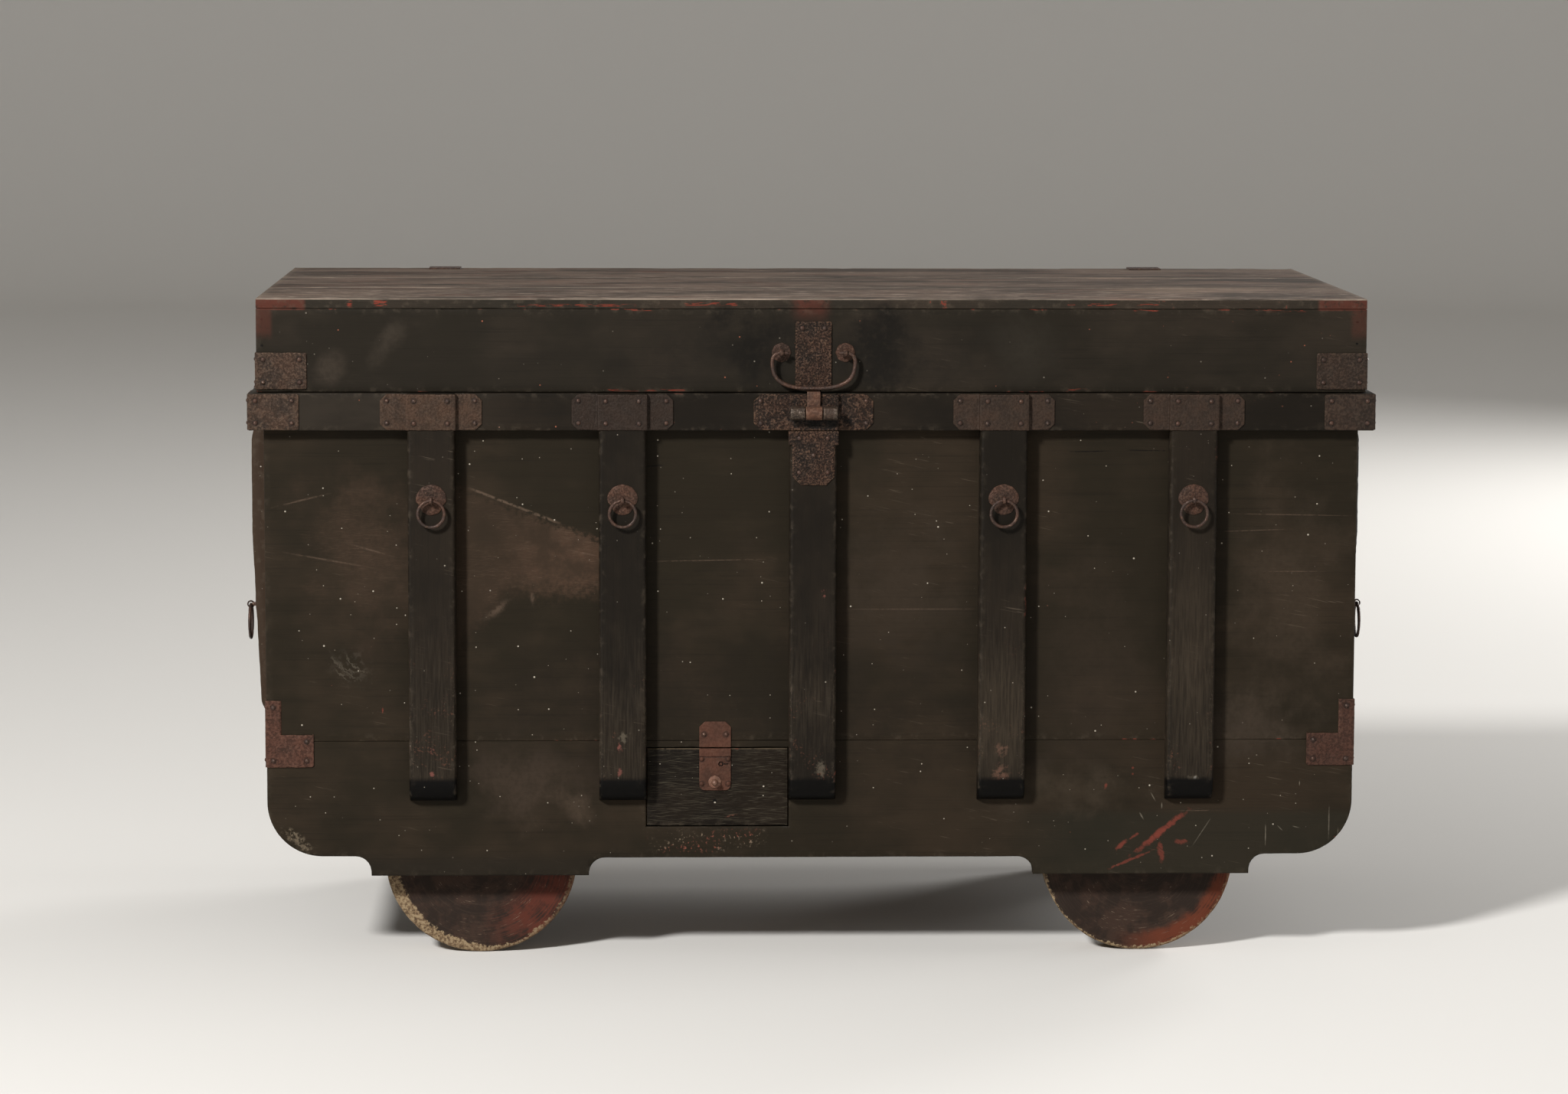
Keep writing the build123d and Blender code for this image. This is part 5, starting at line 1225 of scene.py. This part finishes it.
def smooth_line(points, count):
    """Line through points: between neighbours the curve is the Catmull-Rom cubic."""
    points = np.array(points, float)
    padded = np.concatenate([[2 * points[0] - points[1]], points, [2 * points[-1] - points[-2]]])
    t = np.linspace(0, len(points) - 1, count)
    k = np.minimum(t.astype(int), len(points) - 2)
    u = (t - k)[:, None]
    a, b, c, d = padded[k], padded[k + 1], padded[k + 2], padded[k + 3]
    return 0.5 * (2 * b + (c - a) * u + (2 * a - 5 * b + 4 * c - d) * u ** 2 + (3 * b - a - 3 * c + d) * u ** 3)


half_line = [(-37.5, 0), (-50, -0.2), (-56.5, -3.5), (-59.4, -10), (-59.2, -20), (-56.3, -31), (-50, -39.5),
             (-40, -45.5), (-26, -49.6), (-12, -50.8)]
line = half_line + [(0, -51)] + [(-x, z) for x, z in half_line[::-1]]
line = smooth_line([(x, -bail_out, bail_z + z) for x, z in line], 150)
rod = bent_rod(line, 3.0 - 0.5 * np.linspace(-1, 1, 150) ** 2, 351)
piece("bail", [on_wall(rod, "front")], forged_iron, "bail", "bail_handle")

rosettes = []
for side in (-1, 1):
    x = side * bail_half
    rosette = turned([(0, 0), (13.2, 0.0), (14, 0.5), (13.6, 1.2), (11.5, 1.9), (8, 2.0), (0, 2.0)], 8, 0.05, 64)
    rosettes.append(moved(rosette, x, -LID_PROUD, bail_z))
    rosettes.append(block((x - 3.3, 3.5 - bail_out, bail_z - 4.2), (x + 3.3, -LID_PROUD - 1.2, bail_z + 4.2), 1.2))
    rosettes.append(hoop(4.6, 1.5, 0, (x, -bail_out, bail_z), 361 + side, 2.2, 40, 12, 0.15))
piece("bail_rosettes", [on_wall(shape, "front") for shape in rosettes], rosette_iron, "lid", "bail_posts")

# Ring pulls: name, wall, along, height, standing out, lean

lean = math.degrees(math.atan2(END_POST_OUT - END_POST_LOW, END_TAPER))
side_out = END_POST_LOW + END_RING_SHARE * (END_POST_OUT - END_POST_LOW)
side_z = END_POST_FOOT + END_POST_LOW + END_RING_SHARE * END_TAPER
seats = [("front_" + name, "front", FRONT_PLACES[k], 675, STILE_OUT, 0)
         for name, k in (("far_left", 0), ("left", 1), ("right", 3), ("far_right", 4))]
seats += [(wall + "_" + end, wall, turn * STILE_PITCH / 2, side_z, side_out, lean)
          for wall, way in (("left", 1), ("right", -1)) for end, turn in (("front", way), ("back", -way))]


def tipped(shape, degrees, out):
    """Turns a shape about X and moves it out, so that it sits on a sloping face."""
    c, s = math.cos(math.radians(degrees)), math.sin(math.radians(degrees))
    x, y, z = shape[0].T
    return (np.stack([x, c * y - s * z - out, s * y + c * z], -1),) + tuple(shape[1:])


def backplate_edge(angle):
    """Outline of a ring's backplate: round above, drawn in to a short tab below."""
    low = np.clip(-np.cos(angle), 0, 1)
    return 1 - 0.16 * np.sin(low * math.pi) ** 2 - 0.02 * (1 - np.cos(10 * angle)) / 2


backs, eyes = [], []
disc = turned([(0, 0), (21.4, 0), (22.3, 0.4), (22.0, 1.0), (20.5, 1.6), (16, 1.85), (10, 2.0), (0, 2.0)],
              0, 0, 72, backplate_edge)
for k, (name, wall, along, height, out, tip) in enumerate(seats):
    backs.append(on_wall(tipped(disc, tip, out), wall, along, height))
    stem = block((-2.4, -8.6, -3.0), (2.4, -1.2, 3.0), 1.0, 5 + k)
    loop = hoop(4.6, 1.25, 0, (0, -10.5, 0), 371 + k, 1.9, 40, 12, 0.12)
    eyes += [on_wall(tipped(shape, tip, out), wall, along, height) for shape in (stem, loop)]
    node = "ring_" + name
    size, axis = (19.0, 1) if wall == "front" else (25.0, 0)
    piece("pull_" + name, [hoop(size, 2.5, axis, sum(node_corners(node)) / 2, 381 + k)], forged_iron, node, node)
piece("pull_backplates", backs, rosette_iron, "trunk", "ring_backplates")
piece("pull_eyes", eyes, forged_iron, "trunk", "ring_eyes")

# Drawer's plates and knob

lock_left, lock_right = LOCK_X - 23, LOCK_X + 23
strike = flat_plate(lock_left, lock_right, (310.5, 329.5, 348.5), cut_high=clipped(8), pits=0.15, seed=391, ragged=0.3,
                    nails=[(LOCK_X - 16, -PLATE, 329.5), (LOCK_X + 16, -PLATE, 329.5)])
piece("strike_iron", [on_wall(strike, "front")], red_iron, "trunk", "strike_plate")


def from_key(points):
    """Distance from the keyhole's middle."""
    return np.hypot(points[..., 0] - KEY_X, points[..., 2] - KEY_Z)


def key_hole(points):
    """One in the ring round the lock's pin and in the slot beside it, where the key goes in."""
    x, away = points[..., 0] - KEY_X, from_key(points)
    slot = (x > 2.5) & (x < 10.5) & (np.abs(points[..., 2] - KEY_Z) < 1.0)
    return (((away > 2.0) & (away < 3.6)) | slot).astype(float)


def lock_relief(points):
    """Raised band at the top, a bead round the keyhole, and the keyhole sunk below the face."""
    z = points[..., 2]
    band = 0.8 * np.clip((z - 296.5) / 0.8, 0, 1) - 0.5 * np.exp(-((z - 296.2) / 0.7) ** 2)
    return band + 0.5 * np.exp(-((from_key(points) - 4.8) / 0.8) ** 2) - 1.4 * key_hole(points)


lock = flat_plate(lock_left, lock_right, (247, 278, 309), cut_low=rounded(9), step=0.6, pits=0.15, seed=395,
                  ragged=0.3, relief=lock_relief,
                  nails=[(LOCK_X + s * 19.4, -PLATE, z) for s in (-1, 1) for z in (293.4, 257)])
# Painted shade: a dark line in the crease under the raised band, and the keyhole painted dark as a deep hole; both go
# into the nail ring attribute
crease_shade = np.exp(-((lock[0][:, 2] - 296.0) / 0.7) ** 2) * (lock[0][:, 1] < -0.5)
lock[3] = np.max([lock[3], key_hole(lock[0]) * 1.6, crease_shade], axis=0)
piece("lock_iron", [on_wall(lock, "front")], red_iron, "drawer", "drawer_lock_plate")
knob = turned([(0, 2.0), (8.6, 2.0), (9.5, 2.5), (9.2, 3.3), (6.5, 3.7), (3.0, 3.9), (2.6, 5.0), (2.6, 7.6), (3.6, 8.3),
               (4.9, 9.4), (5.2, 10.6), (4.9, 12.2), (3.6, 14.2), (2.0, 15.4), (0, 15.8)], 9, 0.06, 54)
piece("knob", [on_wall(moved(knob, -141.0, 0, 260.0), "front")], knob_iron, "drawer", "drawer_knob")


# Wheels

def wheel(centre, seed, half=30.0, hole=17.05, outer=139.9):
    """Disc about Y: a rounded rectangular section between bore and rim carried round the axle, its rim
    chipped inwards where a random field is high."""
    loop, _ = rounded_loop([(-half, hole), (half, hole), (half, outer), (-half, outer)], 4.0, 7.0)
    angle = once_round(180)[:, None]
    y, r, c, s = np.broadcast_arrays(loop[:, 0], loop[:, 1], np.cos(angle), np.sin(angle))
    spot = np.stack([r * s, y, r * c], -1)
    rim = np.exp(-(outer - r) / 5.0)
    flank = np.clip(np.abs(y) / half, 0, 1) ** 8
    chip = rim * flank * (bumps(spot, 9.0, seed, 0.1) + bumps(spot, 4.0, seed + 1, 0.4))
    y = y * (1 - 0.012 * flank * waves(spot, 40.0, seed + 2) - 0.03 * chip)
    r = r - 1.6 * chip
    points, faces = tube(np.stack([r * s, y, r * c], -1) + centre, closed=True)
    return points, faces, rim.ravel(), None, np.stack([r * MM, c, s], -1).reshape(-1, 3)


for end in ("front", "back"):
    for across in ("left", "right"):
        node = "wheel_" + end + "_" + across
        shape = wheel(sum(node_corners(node)) / 2, 401 + len(node))
        piece("disc_" + end + "_" + across, [shape], turned_wheel, node, node)

# Solids that keep their shape
for entry in frame["record"]["subparts"]:
    for slot in frame["nodes"][entry["node"]].material_slots:
        slot.material = finishes[entry["material_slot"]][0]


# Floor, backdrop, light and camera

def make_paper(colour, roughness):
    """Plain studio paper."""
    f = Finish("studio_paper")
    f.shader.inputs["Base Color"].default_value = tint(colour)
    f.shader.inputs["Roughness"].default_value = roughness
    return f.material


def bowl(name, finish, flat=14500, bend=4000, top=14000):
    """Round floor that turns up into a wall: a flat run, a quarter circle and an upright run in
    section, carried round the upright axis."""
    angle, turn = np.linspace(0, math.pi / 2, 25), once_round(96)
    r = np.concatenate([[4000], flat + bend * np.sin(angle), [flat + bend]])[:, None]
    z = np.concatenate([[0], bend * (1 - np.cos(angle)), [top]])[:, None]
    points, quads = tube(np.stack([r * np.cos(turn), r * np.sin(turn), z + 0 * turn], -1))
    faces = [list(range(len(turn)))] + [quad[::-1] for quad in quads[:-2]]
    shown(name, points, faces, finish)


bowl("studio_floor", make_paper((214, 211, 206), 0.9))


def lamp(name, place, size, power, target=(0, 0, 0.5)):
    """Round soft lamp that faces the trunk."""
    data = bpy.data.lights.new(name, "AREA")
    data.shape, data.size, data.energy = "DISK", size, power
    made = bpy.data.objects.new(name, data)
    made.location = place
    made.rotation_euler = (Vector(target) - Vector(place)).to_track_quat("-Z", "Y").to_euler()
    bpy.context.scene.collection.objects.link(made)


lamp("key", (-4.6, -6.4, 5.4), 1.2, 1150)
lamp("fill", (5.0, -6.0, 2.4), 4.0, 45)
lamp("back", (5.5, 6.0, 2.6), 3.0, 400)
lamp("side", (6.8, 0.5, 2.2), 2.5, 130)
world = bpy.data.worlds.new("studio_air")
world.use_nodes = True
world.node_tree.nodes["Background"].inputs["Color"].default_value = (1.0, 0.985, 0.965, 1)
world.node_tree.nodes["Background"].inputs["Strength"].default_value = 0.26
bpy.context.scene.world = world
bpy.context.scene.view_settings.view_transform = "Standard"


def aim(yaw, pitch, roll):
    """Camera axes: forward turned by the yaw and tipped down by the pitch, then rolled about itself."""
    yaw, pitch, roll = math.radians(yaw), math.radians(pitch), math.radians(roll)
    forward = Vector((math.sin(yaw) * math.cos(pitch), math.cos(yaw) * math.cos(pitch), -math.sin(pitch)))
    level = Vector((math.cos(yaw), -math.sin(yaw), 0))
    right = math.cos(roll) * level + math.sin(roll) * level.cross(forward)
    return Matrix((right, right.cross(forward), -forward)).transposed().to_4x4()


lens = bpy.data.cameras.new("camera")
lens.lens, lens.sensor_width, lens.clip_end = 106.66, 36, 60
camera = bpy.data.objects.new("camera", lens)
camera.matrix_world = Matrix.Translation((-0.2609, -7.0412, 1.3828)) @ aim(1.886, 6.661, 0.169)
bpy.context.scene.collection.objects.link(camera)
bpy.context.scene.camera = camera
